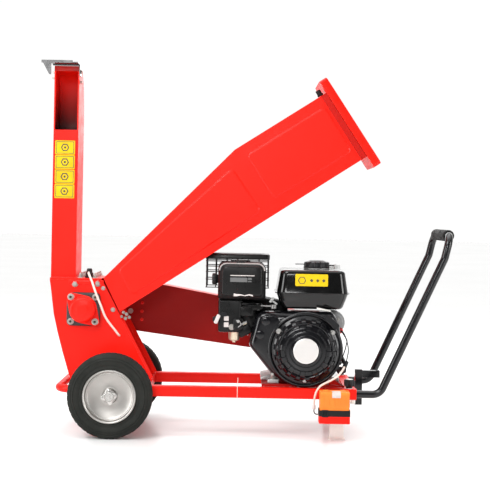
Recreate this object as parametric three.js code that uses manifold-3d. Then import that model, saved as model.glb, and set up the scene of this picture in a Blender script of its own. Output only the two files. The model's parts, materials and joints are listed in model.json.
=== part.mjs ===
// Petrol wood chipper on a two-wheeled frame. Millimetres, +Z up, origin on the floor under the
// middle of the machine. +X runs from the discharge chute to the push handle, and -Y is the
// recoil-starter side of the engine. "near" names the -Y side and "far" the +Y side.
import * as THREE from 'three';
import { mergeVertices } from 'three/addons/utils/BufferGeometryUtils.js';
import Module from 'manifold-3d';

const wasm = await Module();
wasm.setup();

// ---------------------------------------------------------------- driving dimensions
const GAP = 0.3;                    // clearance between neighbouring solids
const SHEET = 3;                    // plate thickness of the housing
const THIN_SHEET = 2;               // plate thickness of hopper, chute and covers

const RAIL = { size: 30, wall: 2, y: 150, left: -470, right: 316, bottom: 112 };
const RAIL_TOP = RAIL.bottom + RAIL.size;
const RAIL_MID = RAIL.bottom + RAIL.size / 2;
const BUMPER = { radius: 11, bore: 9, x: -524, corner: 45, insert: 60 };
const HANDLE = { radius: 11, bore: 9, bend: 32, start: [244, RAIL_MID], foot: [382, RAIL_MID],
  knee: [559, 513], top: [574, 576] };
const GRIP = { radius: 16.5, bore: 11.8, half: 114 };
const KNOB = { x: 296, radius: 17, lobe: 6, lobes: 5, collar: 9, boltRadius: 4, bottom: 88, head: 148,
  top: 168 };
const SUBFRAME = { left: -490, right: -268, frontTube: -474, rearTube: -285 };
const LEG = { left: 243, right: 282, half: 12, wall: 2, footHalf: 15 };

const AXLE = { x: -370, z: 118, radius: 10, half: 232 };
const TYRE = { radius: 118, rim: 74, inner: 174, outer: 230 };
const HUB = { radius: 17, disc: 50 };

const ROTOR = { x: -463, z: 347, shaft: 12.5, drum: 66, tip: 76, half: 70, shaftNear: -116, shaftFar: 146 };
const HOUSING = { half: 80, left: -562, top: 431, bottom: 142.8, bandRadius: 86 };
const BEARING = { square: 95, corner: 14, thick: 14, boss: 34, depth: 32 };
const CAP = { radius: 40, depth: 126, shoulder: 118, boltReach: 35, ear: 13 };
const CHUTE = { left: -562, right: -490, half: 60, bottom: 431.3, top: 1045, flangeRight: -414 };
const OUTLET = { bottom: 861, top: 1030, side: 4 };
const HOOD = { springing: 881, crown: -35 };
const FLAP = { hingeY: -66, hingeZ: 1049, front: -115, lipLeft: -590.5, lipRight: -502,
  gussetBottom: 1014 };
const QUADRANT = { reach: 40, drop: 32 };

// hopper corners in the XZ plane, from the throat up to the mouth
const THROAT_TOP = [-408, 436];
const THROAT_BOTTOM = [-360, 340];
const BEND_TOP = [-38, 811];
const BEND_BOTTOM = [60, 615];
const MOUTH_TOP = [220, 978];
const MOUTH_BOTTOM = [340, 798];
const HOPPER = { throatHalf: 80, mouthHalf: 90, rimHalf: 105, rimHeight: 291, rimDepth: 24 };

const ENGINE = { x: 171, z: 249, base: 149.6, shaft: 12.5, shaftHalf: 146, recoilFront: -190,
  shroudFront: -149.7, shroudBack: -60, inlet: 70, ptoFace: 70 };
const FLYWHEEL = { radius: 80, front: -140, back: -100 };
const PULLEY = { rotor: 51, engine: 34, near: 115, far: 141, grooveHalf: 6.9, grooveDepth: 7 };
const BELT = { half: 4.9, over: 1.5, under: 6 };
const GUARD = { back: 83, plate: 2.5, outer: 150, bearingHole: 50, crankHole: 30 };
const BATTERY = { left: 210, right: 293, bottom: 54.5, top: 141, front: -223, back: -171.6 };
const STRAP = { thick: 2, bottom: 74, height: 17 };

// ---------------------------------------------------------------- finishes
const finish = (color, roughness, metalness) => ({ color, roughness, metalness });
const RED = finish(0xe0281c, 0.35, 0.1);
const DARK_RED = finish(0x9c1410, 0.4, 0.1);
const BLACK_PAINT = finish(0x18181a, 0.35, 0.2);
const BLACK_PLASTIC = finish(0x1c1c1d, 0.55, 0.0);
const RUBBER = finish(0x2c2d2a, 0.85, 0.0);
const STEEL = finish(0xb8b6b0, 0.35, 0.9);
const ZINC = finish(0xc8c3b8, 0.3, 0.9);
const CAST_IRON = finish(0x2a2a2a, 0.6, 0.6);
const ALUMINIUM = finish(0xa9a9a6, 0.5, 0.8);
const ORANGE = finish(0xf08a3c, 0.5, 0.0);
const WHITE_PLASTIC = finish(0xe8e4da, 0.5, 0.0);

// ---------------------------------------------------------------- geometry helpers
// A closed, merged mesh with no collapsed triangles, its faces pointing out.
function closed(geometry) {
  const bare = geometry.clone();
  bare.deleteAttribute('normal');
  bare.deleteAttribute('uv');
  const merged = mergeVertices(bare, 1e-4);
  const index = [];
  const source = merged.index.array;
  for (let i = 0; i < source.length; i += 3) {
    const [a, b, c] = [source[i], source[i + 1], source[i + 2]];
    if (a !== b && b !== c && c !== a) index.push(a, b, c);
  }
  const points = merged.attributes.position;
  const corner = [new THREE.Vector3(), new THREE.Vector3(), new THREE.Vector3()];
  let volume = 0;
  for (let i = 0; i < index.length; i += 3) {
    corner.forEach((vector, k) => vector.fromBufferAttribute(points, index[i + k]));
    volume += corner[0].dot(corner[1].clone().cross(corner[2]));
  }
  if (volume < 0) index.reverse();
  merged.setIndex(index);
  return merged;
}

function toSolid(geometry) {
  const mesh = closed(geometry);
  return new wasm.Manifold(new wasm.Mesh({
    numProp: 3,
    vertProperties: new Float32Array(mesh.attributes.position.array),
    triVerts: new Uint32Array(mesh.index.array),
  }));
}

function fromSolid(solid) {
  const mesh = solid.getMesh();
  const geometry = new THREE.BufferGeometry();
  geometry.setAttribute('position', new THREE.Float32BufferAttribute(mesh.vertProperties, 3));
  geometry.setIndex(Array.from(mesh.triVerts));
  return geometry;
}

const join = (...parts) => fromSolid(parts.map(toSolid).reduce((a, b) => a.add(b)));

function cut(body, ...tools) {
  return fromSolid(tools.map(toSolid).reduce((a, b) => a.subtract(b), toSolid(body)));
}

function box(x0, x1, y0, y1, z0, z1) {
  const geometry = new THREE.BoxGeometry(x1 - x0, y1 - y0, z1 - z0);
  return geometry.translate((x0 + x1) / 2, (y0 + y1) / 2, (z0 + z1) / 2);
}

// Cylinders along Y and Z between two stations.
function rodY(x, z, radius, y0, y1, sides = 24) {
  return new THREE.CylinderGeometry(radius, radius, y1 - y0, sides).translate(x, (y0 + y1) / 2, z);
}

function rodZ(x, y, radius, z0, z1, sides = 16) {
  const rod = new THREE.CylinderGeometry(radius, radius, z1 - z0, sides).rotateX(Math.PI / 2);
  return rod.translate(x, y, (z0 + z1) / 2);
}

const corners2 = (points) => points.map(([a, b]) => new THREE.Vector2(a, b));
const shapeOf = (points) => new THREE.Shape(corners2(points));
const pathOf = (points) => new THREE.Path(corners2(points));

function extrudeFlat(outline, depth, options = {}) {
  const shape = outline instanceof THREE.Shape ? outline : shapeOf(outline);
  const settings = { depth, bevelEnabled: false, curveSegments: 8, ...options };
  return new THREE.ExtrudeGeometry(shape, settings);
}

// An outline in the XZ plane given depth along Y from y0 to y1.
function slabY(outline, y0, y1, options) {
  return extrudeFlat(outline, y1 - y0, options).rotateX(Math.PI / 2).translate(0, y1, 0);
}

// An outline in the YZ plane given depth along X from x0 to x1.
function slabX(outline, x0, x1) {
  return extrudeFlat(outline, x1 - x0).rotateX(Math.PI / 2).rotateZ(Math.PI / 2).translate(x0, 0, 0);
}

// The outline of a rectangle or any polygon with its corners rounded.
function rounded(points, radius) {
  const shape = new THREE.Shape();
  points.forEach((point, i) => {
    const here = new THREE.Vector2(...point);
    const before = new THREE.Vector2(...points[(i + points.length - 1) % points.length]);
    const after = new THREE.Vector2(...points[(i + 1) % points.length]);
    const start = here.clone().add(before.sub(here).setLength(radius));
    const end = here.clone().add(after.sub(here).setLength(radius));
    if (i === 0) shape.moveTo(start.x, start.y);
    else shape.lineTo(start.x, start.y);
    shape.quadraticCurveTo(here.x, here.y, end.x, end.y);
  });
  shape.closePath();
  return shape;
}

const rectangle = (a0, a1, b0, b1) => [[a0, b0], [a1, b0], [a1, b1], [a0, b1]];

function roundBox(x0, x1, y0, y1, z0, z1, radius, bevel) {
  const outline = rounded(rectangle(x0, x1, z0, z1), radius);
  return slabY(outline, y0 + bevel, y1 - bevel, {
    bevelEnabled: true, bevelSize: bevel, bevelThickness: bevel, bevelOffset: -bevel,
    bevelSegments: 2, curveSegments: 3,
  });
}

// A body of revolution about the Y axis through (x, z); the profile holds [radius, y] pairs.
function turnedY(profile, x, z, segments = 32) {
  const points = profile.map(([r, y]) => new THREE.Vector2(r, y));
  return new THREE.LatheGeometry(points, segments).translate(x, 0, z);
}

// A body of revolution about the Z axis through (x, y); the profile holds [radius, z] pairs.
function turnedZ(profile, x, y, segments = 24) {
  const points = profile.map(([r, z]) => new THREE.Vector2(r, z));
  return new THREE.LatheGeometry(points, segments).rotateX(Math.PI / 2).translate(x, y, 0);
}

// A polyline in space with its inner corners rounded.
function bentPath(points, radius) {
  const path = new THREE.CurvePath();
  let from = points[0];
  for (let i = 1; i < points.length - 1; i += 1) {
    const here = points[i];
    const start = here.clone().add(from.clone().sub(here).setLength(radius));
    const end = here.clone().add(points[i + 1].clone().sub(here).setLength(radius));
    path.add(new THREE.LineCurve3(from, start));
    path.add(new THREE.QuadraticBezierCurve3(start, here, end));
    from = end;
  }
  path.add(new THREE.LineCurve3(from, points[points.length - 1]));
  return path;
}

function ringShape(radius, bore, sides) {
  const corners = (r) => Array.from({ length: sides }, (_, i) => {
    const angle = (2 * Math.PI * i) / sides;
    return new THREE.Vector2(r * Math.cos(angle), r * Math.sin(angle));
  });
  const shape = new THREE.Shape(corners(radius));
  if (bore) shape.holes.push(new THREE.Path(corners(bore)));
  return shape;
}

function tube(path, radius, bore, steps, sides = 12) {
  return new THREE.ExtrudeGeometry(ringShape(radius, bore, sides), { steps, extrudePath: path });
}

// A polygon with every edge moved inward by its own distance (negative moves it outward).
// Edge i runs from point i to point i + 1; the points run anticlockwise.
function inset(points, distances) {
  const edges = points.map((point, i) => {
    const a = new THREE.Vector2(...point);
    const b = new THREE.Vector2(...points[(i + 1) % points.length]);
    const along = b.clone().sub(a).normalize();
    const inward = new THREE.Vector2(-along.y, along.x);
    return { point: a.addScaledVector(inward, distances[i]), along };
  });
  return edges.map((edge, i) => {
    const last = edges[(i + edges.length - 1) % edges.length];
    const between = edge.point.clone().sub(last.point);
    const t = between.cross(edge.along) / last.along.cross(edge.along);
    return [last.point.x + last.along.x * t, last.point.y + last.along.y * t];
  });
}

// ---------------------------------------------------------------- scene graph
const chipper = new THREE.Group();

function place(name, geometry, look, where = {}) {
  const mesh = new THREE.Mesh(closed(geometry), new THREE.MeshStandardMaterial(look));
  mesh.name = name;
  if (where.position) mesh.position.set(...where.position);
  if (where.rotation) mesh.rotation.set(...where.rotation);
  chipper.add(mesh);
  return mesh;
}

const SIDES = [['near', -1], ['far', 1]];

// ---------------------------------------------------------------- frame
function squareTubeX(x0, x1, y, bottom, size, wall) {
  const h = size / 2;
  const shape = shapeOf(rectangle(y - h, y + h, bottom, bottom + size));
  const hole = rectangle(y - h + wall, y + h - wall, bottom + wall, bottom + size - wall);
  shape.holes.push(pathOf(hole));
  return slabX(shape, x0, x1);
}

function squareTubeY(x, half, bottom, size, wall) {
  const h = size / 2;
  const shape = shapeOf(rectangle(x - h, x + h, bottom, bottom + size));
  const hole = rectangle(x - h + wall, x + h - wall, bottom + wall, bottom + size - wall);
  shape.holes.push(pathOf(hole));
  return slabY(shape, -half, half);
}

function rail(side) {
  const y = side * RAIL.y;
  const tubeBody = squareTubeX(RAIL.left, RAIL.right, y, RAIL.bottom, RAIL.size, RAIL.wall);
  const saddle = rodY(AXLE.x, AXLE.z, AXLE.radius + GAP, y - RAIL.size, y + RAIL.size);
  const boltHole = rodZ(KNOB.x, y, KNOB.boltRadius + GAP, RAIL.bottom - 5, RAIL_TOP + 5);
  return cut(tubeBody, saddle, boltHole);
}

const BETWEEN_RAILS = RAIL.y - RAIL.size / 2 - GAP;

// Two cross tubes under one deck plate, which carry the rotor housing.
function housingSubframe() {
  const deck = box(SUBFRAME.left, SUBFRAME.right, -BETWEEN_RAILS, BETWEEN_RAILS, RAIL_TOP - SHEET,
    HOUSING.bottom - GAP);
  const front = squareTubeY(SUBFRAME.frontTube, BETWEEN_RAILS, RAIL.bottom, RAIL.size, RAIL.wall);
  const rear = squareTubeY(SUBFRAME.rearTube, BETWEEN_RAILS, RAIL.bottom, RAIL.size, RAIL.wall);
  return join(deck, front, rear);
}

function bumperLoop() {
  const end = RAIL.left + BUMPER.insert;
  const points = [
    new THREE.Vector3(end, -RAIL.y, RAIL_MID),
    new THREE.Vector3(BUMPER.x, -RAIL.y, RAIL_MID),
    new THREE.Vector3(BUMPER.x, RAIL.y, RAIL_MID),
    new THREE.Vector3(end, RAIL.y, RAIL_MID),
  ];
  return tube(bentPath(points, BUMPER.corner), BUMPER.radius, BUMPER.bore, 28, 8);
}

// The engine stands on this plate; its outer tab hooks over the near rail and carries the battery.
const TRAY = { left: 50, right: 276, half: 140, bottom: RAIL_TOP + GAP, top: ENGINE.base - GAP };
const TAB = { left: 222, right: 275, outer: -169, bottom: 70, thick: 3 };
const BELT_SLOT = { left: 90, right: 250, near: 90, far: 130 };
function engineBasePlate() {
  const tabTop = TRAY.bottom + TAB.thick;
  const plate = box(TRAY.left, TRAY.right, -TRAY.half, TRAY.half, TRAY.bottom, TRAY.top);
  const overRail = box(TAB.left, TAB.right, TAB.outer, -TRAY.half + 1, TRAY.bottom, tabTop);
  const drop = box(TAB.left, TAB.right, TAB.outer, TAB.outer + TAB.thick, TAB.bottom, tabTop);
  const beltSlot = box(BELT_SLOT.left, BELT_SLOT.right, BELT_SLOT.near, BELT_SLOT.far, TRAY.bottom - 1,
    TRAY.top + 1);
  return cut(join(plate, overRail, drop), beltSlot);
}

function leg(side) {
  const y = side * RAIL.y;
  const post = box(LEG.left, LEG.right, y - LEG.half, y + LEG.half, 1, RAIL.bottom - GAP);
  const foot = box(LEG.left - 4, LEG.right + 4, y - LEG.footHalf, y + LEG.footHalf, 0, 4);
  const bore = box(LEG.left + LEG.wall, LEG.right - LEG.wall, y - LEG.half + LEG.wall,
    y + LEG.half - LEG.wall, 4, RAIL.bottom + 1);
  return cut(join(post, foot), bore);
}

const REAR_TUBE_X = 299;

// A short post on the rear cross tube with a square drawbar pointing away from the machine.
const HITCH = { left: 325, right: 346, half: 11, bottom: 76, top: 179, barEnd: 397, barBottom: 156,
  bar: 20 };
function towHitch() {
  const post = box(HITCH.left, HITCH.right, -HITCH.half, HITCH.half, HITCH.bottom, HITCH.top);
  const bar = box(HITCH.right - 1, HITCH.barEnd, -HITCH.half + 1, HITCH.half - 1, HITCH.barBottom,
    HITCH.barBottom + HITCH.bar);
  const lug = box(REAR_TUBE_X + RAIL.size / 2 + GAP, HITCH.left + 1, -HITCH.half, HITCH.half,
    RAIL.bottom + 3, RAIL_TOP - 3);
  return join(post, bar, lug);
}

place('near_rail', rail(-1), RED);
place('far_rail', rail(1), RED);
place('bumper_loop', bumperLoop(), RED);
place('housing_subframe', housingSubframe(), RED);
place('rear_crossmember', squareTubeY(REAR_TUBE_X, BETWEEN_RAILS, RAIL.bottom, RAIL.size, RAIL.wall),
  RED);
place('engine_base_plate', engineBasePlate(), DARK_RED);
place('near_leg', leg(-1), ZINC);
place('far_leg', leg(1), ZINC);
place('tow_hitch', towHitch(), BLACK_PAINT);

// ---------------------------------------------------------------- push handle
function handleTube() {
  const at = (side, [x, z]) => new THREE.Vector3(x, side * RAIL.y, z);
  const arm = [HANDLE.start, HANDLE.foot, HANDLE.knee, HANDLE.top];
  const points = [...arm.map((p) => at(-1, p)), ...arm.slice().reverse().map((p) => at(1, p))];
  const body = tube(bentPath(points, HANDLE.bend), HANDLE.radius, HANDLE.bore, 60, 8);
  const holes = SIDES.map(([, side]) => rodZ(KNOB.x, side * RAIL.y, KNOB.boltRadius + GAP,
    RAIL.bottom, RAIL_TOP, 12));
  return cut(body, ...holes);
}

function starKnob() {
  const steps = 6 * KNOB.lobes;
  const lobes = Array.from({ length: steps }, (_, i) => {
    const angle = (2 * Math.PI * i) / steps;
    const reach = KNOB.radius - KNOB.lobe / 2 + (KNOB.lobe / 2) * Math.cos(KNOB.lobes * angle);
    return [reach * Math.cos(angle), reach * Math.sin(angle)];
  });
  const head = extrudeFlat(lobes, KNOB.top - KNOB.head).translate(0, 0, KNOB.head);
  const stem = turnedZ([
    [0, KNOB.bottom], [KNOB.boltRadius, KNOB.bottom], [KNOB.boltRadius, RAIL_TOP + GAP],
    [KNOB.collar, RAIL_TOP + GAP], [KNOB.collar, KNOB.head + 2], [0, KNOB.head + 2],
  ], 0, 0, 16);
  return join(head, stem);
}

place('handle_tube', handleTube(), BLACK_PAINT);
place('handle_grip', turnedY([
  [GRIP.bore, -GRIP.half], [GRIP.radius, -GRIP.half], [GRIP.radius, GRIP.half],
  [GRIP.bore, GRIP.half], [GRIP.bore, -GRIP.half],
], HANDLE.top[0], HANDLE.top[1], 20), RUBBER);
for (const [name, side] of SIDES) {
  place(`${name}_star_knob`, starKnob(), BLACK_PLASTIC, { position: [KNOB.x, side * RAIL.y, 0] });
}

// ---------------------------------------------------------------- wheels
// The profiles hold [radius, distance from the wheel's inner face].
function tyre() {
  const width = TYRE.outer - TYRE.inner;
  const mid = width / 2;
  const { radius: R, rim } = TYRE;
  return turnedY([
    [rim + GAP, mid - 20], [rim + 10, mid - 25], [R - 22, mid - 28], [R - 9, mid - 24],
    [R - 1, mid - 14], [R, mid], [R - 1, mid + 14], [R - 9, mid + 24], [R - 22, mid + 28],
    [rim + 10, mid + 25], [rim + GAP, mid + 20], [rim + GAP, mid - 20],
  ], 0, 0, 28);
}

function wheelDisc() {
  const width = TYRE.outer - TYRE.inner;
  const bore = AXLE.radius + GAP;
  const rim = TYRE.rim;
  const face = width - 18;
  return turnedY([
    [bore, 2], [HUB.radius, 2], [HUB.radius, face - 10], [HUB.disc, face - 6], [HUB.disc + 8, face - 14],
    [rim - 8, face - 14], [rim - 4, 10], [rim, 10], [rim, width - 9], [rim - 4, width - 7],
    [rim - 6, face - 10], [HUB.disc + 10, face - 10], [HUB.disc, face - 2], [HUB.radius + 2, face - 2],
    [HUB.radius - 1, width - 3], [bore, width - 3], [bore, 2],
  ], 0, 0, 28);
}

place('axle', rodY(AXLE.x, AXLE.z, AXLE.radius, -AXLE.half, AXLE.half), STEEL);
for (const [name, side] of SIDES) {
  const where = {
    position: [AXLE.x, side * TYRE.inner, AXLE.z],
    rotation: [side < 0 ? Math.PI : 0, 0, 0],
  };
  place(`${name}_tyre`, tyre(), RUBBER, where);
  place(`${name}_wheel_disc`, wheelDisc(), ZINC, where);
}

// ---------------------------------------------------------------- rotor housing
const HOUSING_OUTLINE = [
  [HOUSING.left, HOUSING.top], [-558, 404], [-549, 333], [-537, 280], [-521, 221], [-503, 161],
  [-497, HOUSING.bottom], [-263, HOUSING.bottom], [-266, 150], [-356, 321], [-362, 337],
  [-411, HOUSING.top],
];

function housingPlate(side) {
  const y0 = side < 0 ? -HOUSING.half : HOUSING.half - SHEET;
  const y1 = y0 + SHEET;
  const shaftHole = rodY(ROTOR.x, ROTOR.z, 2 * ROTOR.shaft, y0 - 1, y1 + 1);
  return cut(slabY(HOUSING_OUTLINE, y0, y1), shaftHole);
}

// The band closes the housing round the rotor, from the hopper's lower lip, under the drum and up
// to the chute. Its arc is given in degrees round the rotor's axis.
const BAND = { from: 348, to: 190, steps: 14 };
function housingBand() {
  const half = HOUSING.half - SHEET - GAP;
  const arc = (radius) => Array.from({ length: BAND.steps + 1 }, (_, i) => {
    const degrees = BAND.from + (BAND.to - BAND.from) * (i / BAND.steps);
    const angle = THREE.MathUtils.degToRad(degrees);
    return [ROTOR.x + radius * Math.cos(angle), ROTOR.z + radius * Math.sin(angle)];
  });
  const outer = [[-364, 334], ...arc(HOUSING.bandRadius), [HOUSING.left + 2, HOUSING.top - GAP]];
  const inner = [[-362, 337.5], ...arc(HOUSING.bandRadius - SHEET), [HOUSING.left + 5, HOUSING.top - GAP]];
  return slabY([...outer, ...inner.reverse()], -half, half);
}

place('housing_near_plate', housingPlate(-1), RED);
place('housing_far_plate', housingPlate(1), RED);
place('housing_band', housingBand(), RED);

// ---------------------------------------------------------------- rotor and its bearings
const KNIFE = { inner: 50, thick: 8, half: 66, bevel: 8, seat: -1, pocket: 25 };

function rotorDrum() {
  const drum = rodY(ROTOR.x, ROTOR.z, ROTOR.drum, -ROTOR.half, ROTOR.half, 36);
  const bore = rodY(ROTOR.x, ROTOR.z, ROTOR.shaft + GAP, -ROTOR.half - 1, ROTOR.half + 1);
  const slots = SIDES.map(([, side]) => {
    const slot = box(KNIFE.inner - GAP, ROTOR.tip + 5, -ROTOR.half - 1, ROTOR.half + 1, -KNIFE.pocket,
      GAP - KNIFE.seat);
    if (side < 0) slot.rotateY(Math.PI);
    return slot.translate(ROTOR.x, 0, ROTOR.z);
  });
  return cut(drum, bore, ...slots);
}

// Each knife lies on the flat of its slot, with its edge just outside the drum.
function knife(side) {
  const seat = -KNIFE.seat;
  const face = seat - KNIFE.thick;
  const bevelled = ROTOR.tip - KNIFE.bevel;
  const profile = [[KNIFE.inner, face], [bevelled, face], [ROTOR.tip, seat], [KNIFE.inner, seat]];
  const blade = slabY(profile, -KNIFE.half, KNIFE.half);
  if (side < 0) blade.rotateY(Math.PI);
  return blade.translate(ROTOR.x, 0, ROTOR.z);
}

function flangeBearing(side) {
  const h = BEARING.square / 2;
  const square = rectangle(ROTOR.x - h, ROTOR.x + h, ROTOR.z - h, ROTOR.z + h);
  const y = HOUSING.half + GAP;
  const stations = (a, b) => (side < 0 ? [-b, -a] : [a, b]);
  const outline = rounded(square, BEARING.corner);
  const flange = slabY(outline, ...stations(y, y + BEARING.thick), { curveSegments: 3 });
  const boss = rodY(ROTOR.x, ROTOR.z, BEARING.boss, ...stations(y + 1, y + BEARING.depth));
  const bore = rodY(ROTOR.x, ROTOR.z, ROTOR.shaft + GAP, ...stations(y - 1, y + BEARING.depth + 1));
  return cut(join(flange, boss), bore);
}

// A pressed dome over the near bearing, held by two of its four bolts.
function bearingCap() {
  const seat = -(HOUSING.half + GAP + BEARING.thick + GAP);
  const r = CAP.radius;
  const dome = turnedY([
    [r, seat], [r, -CAP.shoulder], [r - 6, -CAP.depth + 2], [0, -CAP.depth], [0, -CAP.depth + 3],
    [r - 8, -CAP.depth + 5], [r - 3, -CAP.shoulder + 1], [r - 3, seat], [r, seat],
  ], ROTOR.x, ROTOR.z, 28);
  const ears = [[-1, 1], [1, -1]].map(([dx, dz]) => rodY(ROTOR.x + dx * CAP.boltReach,
    ROTOR.z + dz * CAP.boltReach, CAP.ear, seat - SHEET, seat, 16));
  const clear = rodY(ROTOR.x, ROTOR.z, r - 3, seat - SHEET - 1, seat + 1, 28);
  const plate = cut(join(...ears, rodY(ROTOR.x, ROTOR.z, r + 3, seat - SHEET, seat, 28)), clear);
  return join(dome, plate);
}

place('rotor_shaft', rodY(ROTOR.x, ROTOR.z, ROTOR.shaft, ROTOR.shaftNear, ROTOR.shaftFar), STEEL);
place('rotor_drum', rotorDrum(), CAST_IRON);
place('knife_a', knife(-1), STEEL);
place('knife_b', knife(1), STEEL);
place('near_bearing', flangeBearing(-1), BLACK_PAINT);
place('far_bearing', flangeBearing(1), BLACK_PAINT);
place('bearing_cap', bearingCap(), RED);

// ---------------------------------------------------------------- discharge chute
const FLANGE_TOP = CHUTE.bottom + 4;

// The hood's far wall curves over towards the near side, so chips leave through the near face.
function chuteOutline(wall) {
  const { half, top, bottom } = CHUTE;
  const shape = new THREE.Shape();
  const low = wall ? bottom - 5 : bottom;
  shape.moveTo(-half + wall, low);
  shape.lineTo(half - wall, low);
  shape.lineTo(half - wall, HOOD.springing);
  shape.quadraticCurveTo(half - wall, top - wall, HOOD.crown, top - wall);
  shape.lineTo(-half + wall, top - wall);
  shape.closePath();
  return shape;
}

function chute() {
  const shell = slabX(chuteOutline(0), CHUTE.left, CHUTE.right);
  const flange = box(CHUTE.left, CHUTE.flangeRight, -HOUSING.half, HOUSING.half, CHUTE.bottom,
    FLANGE_TOP);
  const hollow = slabX(chuteOutline(THIN_SHEET), CHUTE.left + THIN_SHEET, CHUTE.right - THIN_SHEET);
  const outlet = box(CHUTE.left + OUTLET.side, CHUTE.right - OUTLET.side, -CHUTE.half - 5,
    -CHUTE.half + 5, OUTLET.bottom, OUTLET.top);
  return cut(join(shell, flange), hollow, outlet);
}

// Hinged along the hood's front top edge, stiffened by a lip and an end gusset; the quadrant at
// the +X end is clamped by the wing nut.
function deflectorFlap() {
  const { hingeY, hingeZ, front, lipLeft, lipRight } = FLAP;
  const plate = box(CHUTE.left - 4, CHUTE.right + 2.5, front, hingeY, hingeZ - 1, hingeZ + 2);
  const lip = box(lipLeft, lipRight, front - 3, front + 1, hingeZ - 2, hingeZ + 6);
  const gusset = slabY([[lipLeft, hingeZ + 6], [CHUTE.left - 6, FLAP.gussetBottom],
    [CHUTE.left - 1, FLAP.gussetBottom], [CHUTE.left - 1, hingeZ + 6]], front - 3, front + 1);
  const knuckle = new THREE.CylinderGeometry(4, 4, CHUTE.right - CHUTE.left + 6, 12)
    .rotateZ(Math.PI / 2)
    .translate((CHUTE.left + CHUTE.right) / 2 - 0.7, hingeY, hingeZ);
  const quadrant = box(CHUTE.right + GAP, CHUTE.right + 2.5, hingeY - 2, hingeY + QUADRANT.reach,
    hingeZ - QUADRANT.drop, hingeZ + 2);
  return join(plate, lip, gusset, knuckle, quadrant);
}

const WING_NUT = { y: -46, z: 1030, x: CHUTE.right + 2.9 };
function wingNut() {
  const core = new THREE.CylinderGeometry(6, 7, 7, 12).rotateZ(Math.PI / 2).translate(3.5, 0, 0);
  const wing = (side) => slabX([
    [side * 4, -3], [side * 15, 2], [side * 15, 9], [side * 9, 9], [side * 4, 3],
  ], 3, 6);
  return join(core, wing(1), wing(-1));
}

place('chute', chute(), RED);
place('deflector_flap', deflectorFlap(), BLACK_PAINT);
place('deflector_wing_nut', wingNut(), ZINC, { position: [WING_NUT.x, WING_NUT.y, WING_NUT.z] });

// ---------------------------------------------------------------- hopper
const HOPPER_LOWER = [THROAT_BOTTOM, BEND_BOTTOM, BEND_TOP, THROAT_TOP];
const HOPPER_UPPER = [BEND_BOTTOM, MOUTH_BOTTOM, MOUTH_TOP, BEND_TOP];

// Two straight lengths meet at the bend. The lower one narrows towards the throat, so its sides lean in.
function leanSides(geometry, wall) {
  const bend = new THREE.Vector2(...BEND_TOP);
  const along = new THREE.Vector2(...BEND_BOTTOM).sub(bend).normalize();
  const away = new THREE.Vector2(along.y, -along.x);
  const reach = new THREE.Vector2(...THROAT_TOP).sub(bend).dot(away);
  const points = geometry.attributes.position;
  for (let i = 0; i < points.count; i += 1) {
    const depth = new THREE.Vector2(points.getX(i), points.getZ(i)).sub(bend).dot(away);
    const share = THREE.MathUtils.clamp(depth / reach, -0.2, 1.2);
    const half = HOPPER.mouthHalf + (HOPPER.throatHalf - HOPPER.mouthHalf) * share - wall;
    points.setY(i, Math.sign(points.getY(i)) * half);
  }
  return geometry;
}

function hopperBody() {
  const mouthHalf = HOPPER.mouthHalf;
  const wall = THIN_SHEET;
  const lower = leanSides(slabY(HOPPER_LOWER, -mouthHalf, mouthHalf), 0);
  const upper = slabY(HOPPER_UPPER, -mouthHalf, mouthHalf);
  const insideLower = leanSides(slabY(inset(HOPPER_LOWER, [wall, 0.01, wall, -4]), -1, 1), wall);
  const insideHalf = mouthHalf - wall;
  const insideUpper = slabY(inset(HOPPER_UPPER, [wall, -4, wall, 0.01]), -insideHalf, insideHalf);
  const bridgeHalf = insideHalf - 0.1;
  const bridge = slabY(inset(HOPPER_UPPER, [wall, 150, wall, -1.5]), -bridgeHalf, bridgeHalf);
  return cut(join(lower, upper), insideLower, insideUpper, bridge);
}

// A folded collar round the mouth, open at its back. It is made lying along X and then tilted.
function hopperRim() {
  const halfHeight = HOPPER.rimHeight / 2;
  const { rimHalf, rimDepth, mouthHalf } = HOPPER;
  const mouth = new THREE.Vector2(...MOUTH_TOP).distanceTo(new THREE.Vector2(...MOUTH_BOTTOM));
  const openHalf = mouth / 2 - THIN_SHEET;
  const wall = 2.5;
  const block = box(GAP, rimDepth, -rimHalf, rimHalf, -halfHeight, halfHeight);
  const pocket = cut(
    box(-1, rimDepth - wall, -rimHalf + wall, rimHalf - wall, -halfHeight + wall, halfHeight - wall),
    box(-2, rimDepth, -mouthHalf, mouthHalf, -openHalf - THIN_SHEET, openHalf + THIN_SHEET),
  );
  const openSide = mouthHalf - THIN_SHEET;
  const opening = box(-2, rimDepth + 2, -openSide, openSide, -openHalf, openHalf);
  return cut(block, pocket, opening);
}

const MOUTH_MID = [(MOUTH_TOP[0] + MOUTH_BOTTOM[0]) / 2, (MOUTH_TOP[1] + MOUTH_BOTTOM[1]) / 2];
const MOUTH_TILT = Math.atan2(MOUTH_BOTTOM[0] - MOUTH_TOP[0], MOUTH_TOP[1] - MOUTH_BOTTOM[1]);

place('hopper_body', hopperBody(), RED);
place('hopper_rim', hopperRim(), RED, {
  position: [MOUTH_MID[0], 0, MOUTH_MID[1]],
  rotation: [0, -MOUTH_TILT, 0],
});

// ---------------------------------------------------------------- belt drive
const GUARD_OUTLINE = [
  [-535, 285], [-400, 282], [225, 201], [240, 215], [240, 310], [228, 326], [-239, 410], [-300, 421],
  [-500, 425], [-535, 400],
];

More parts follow.
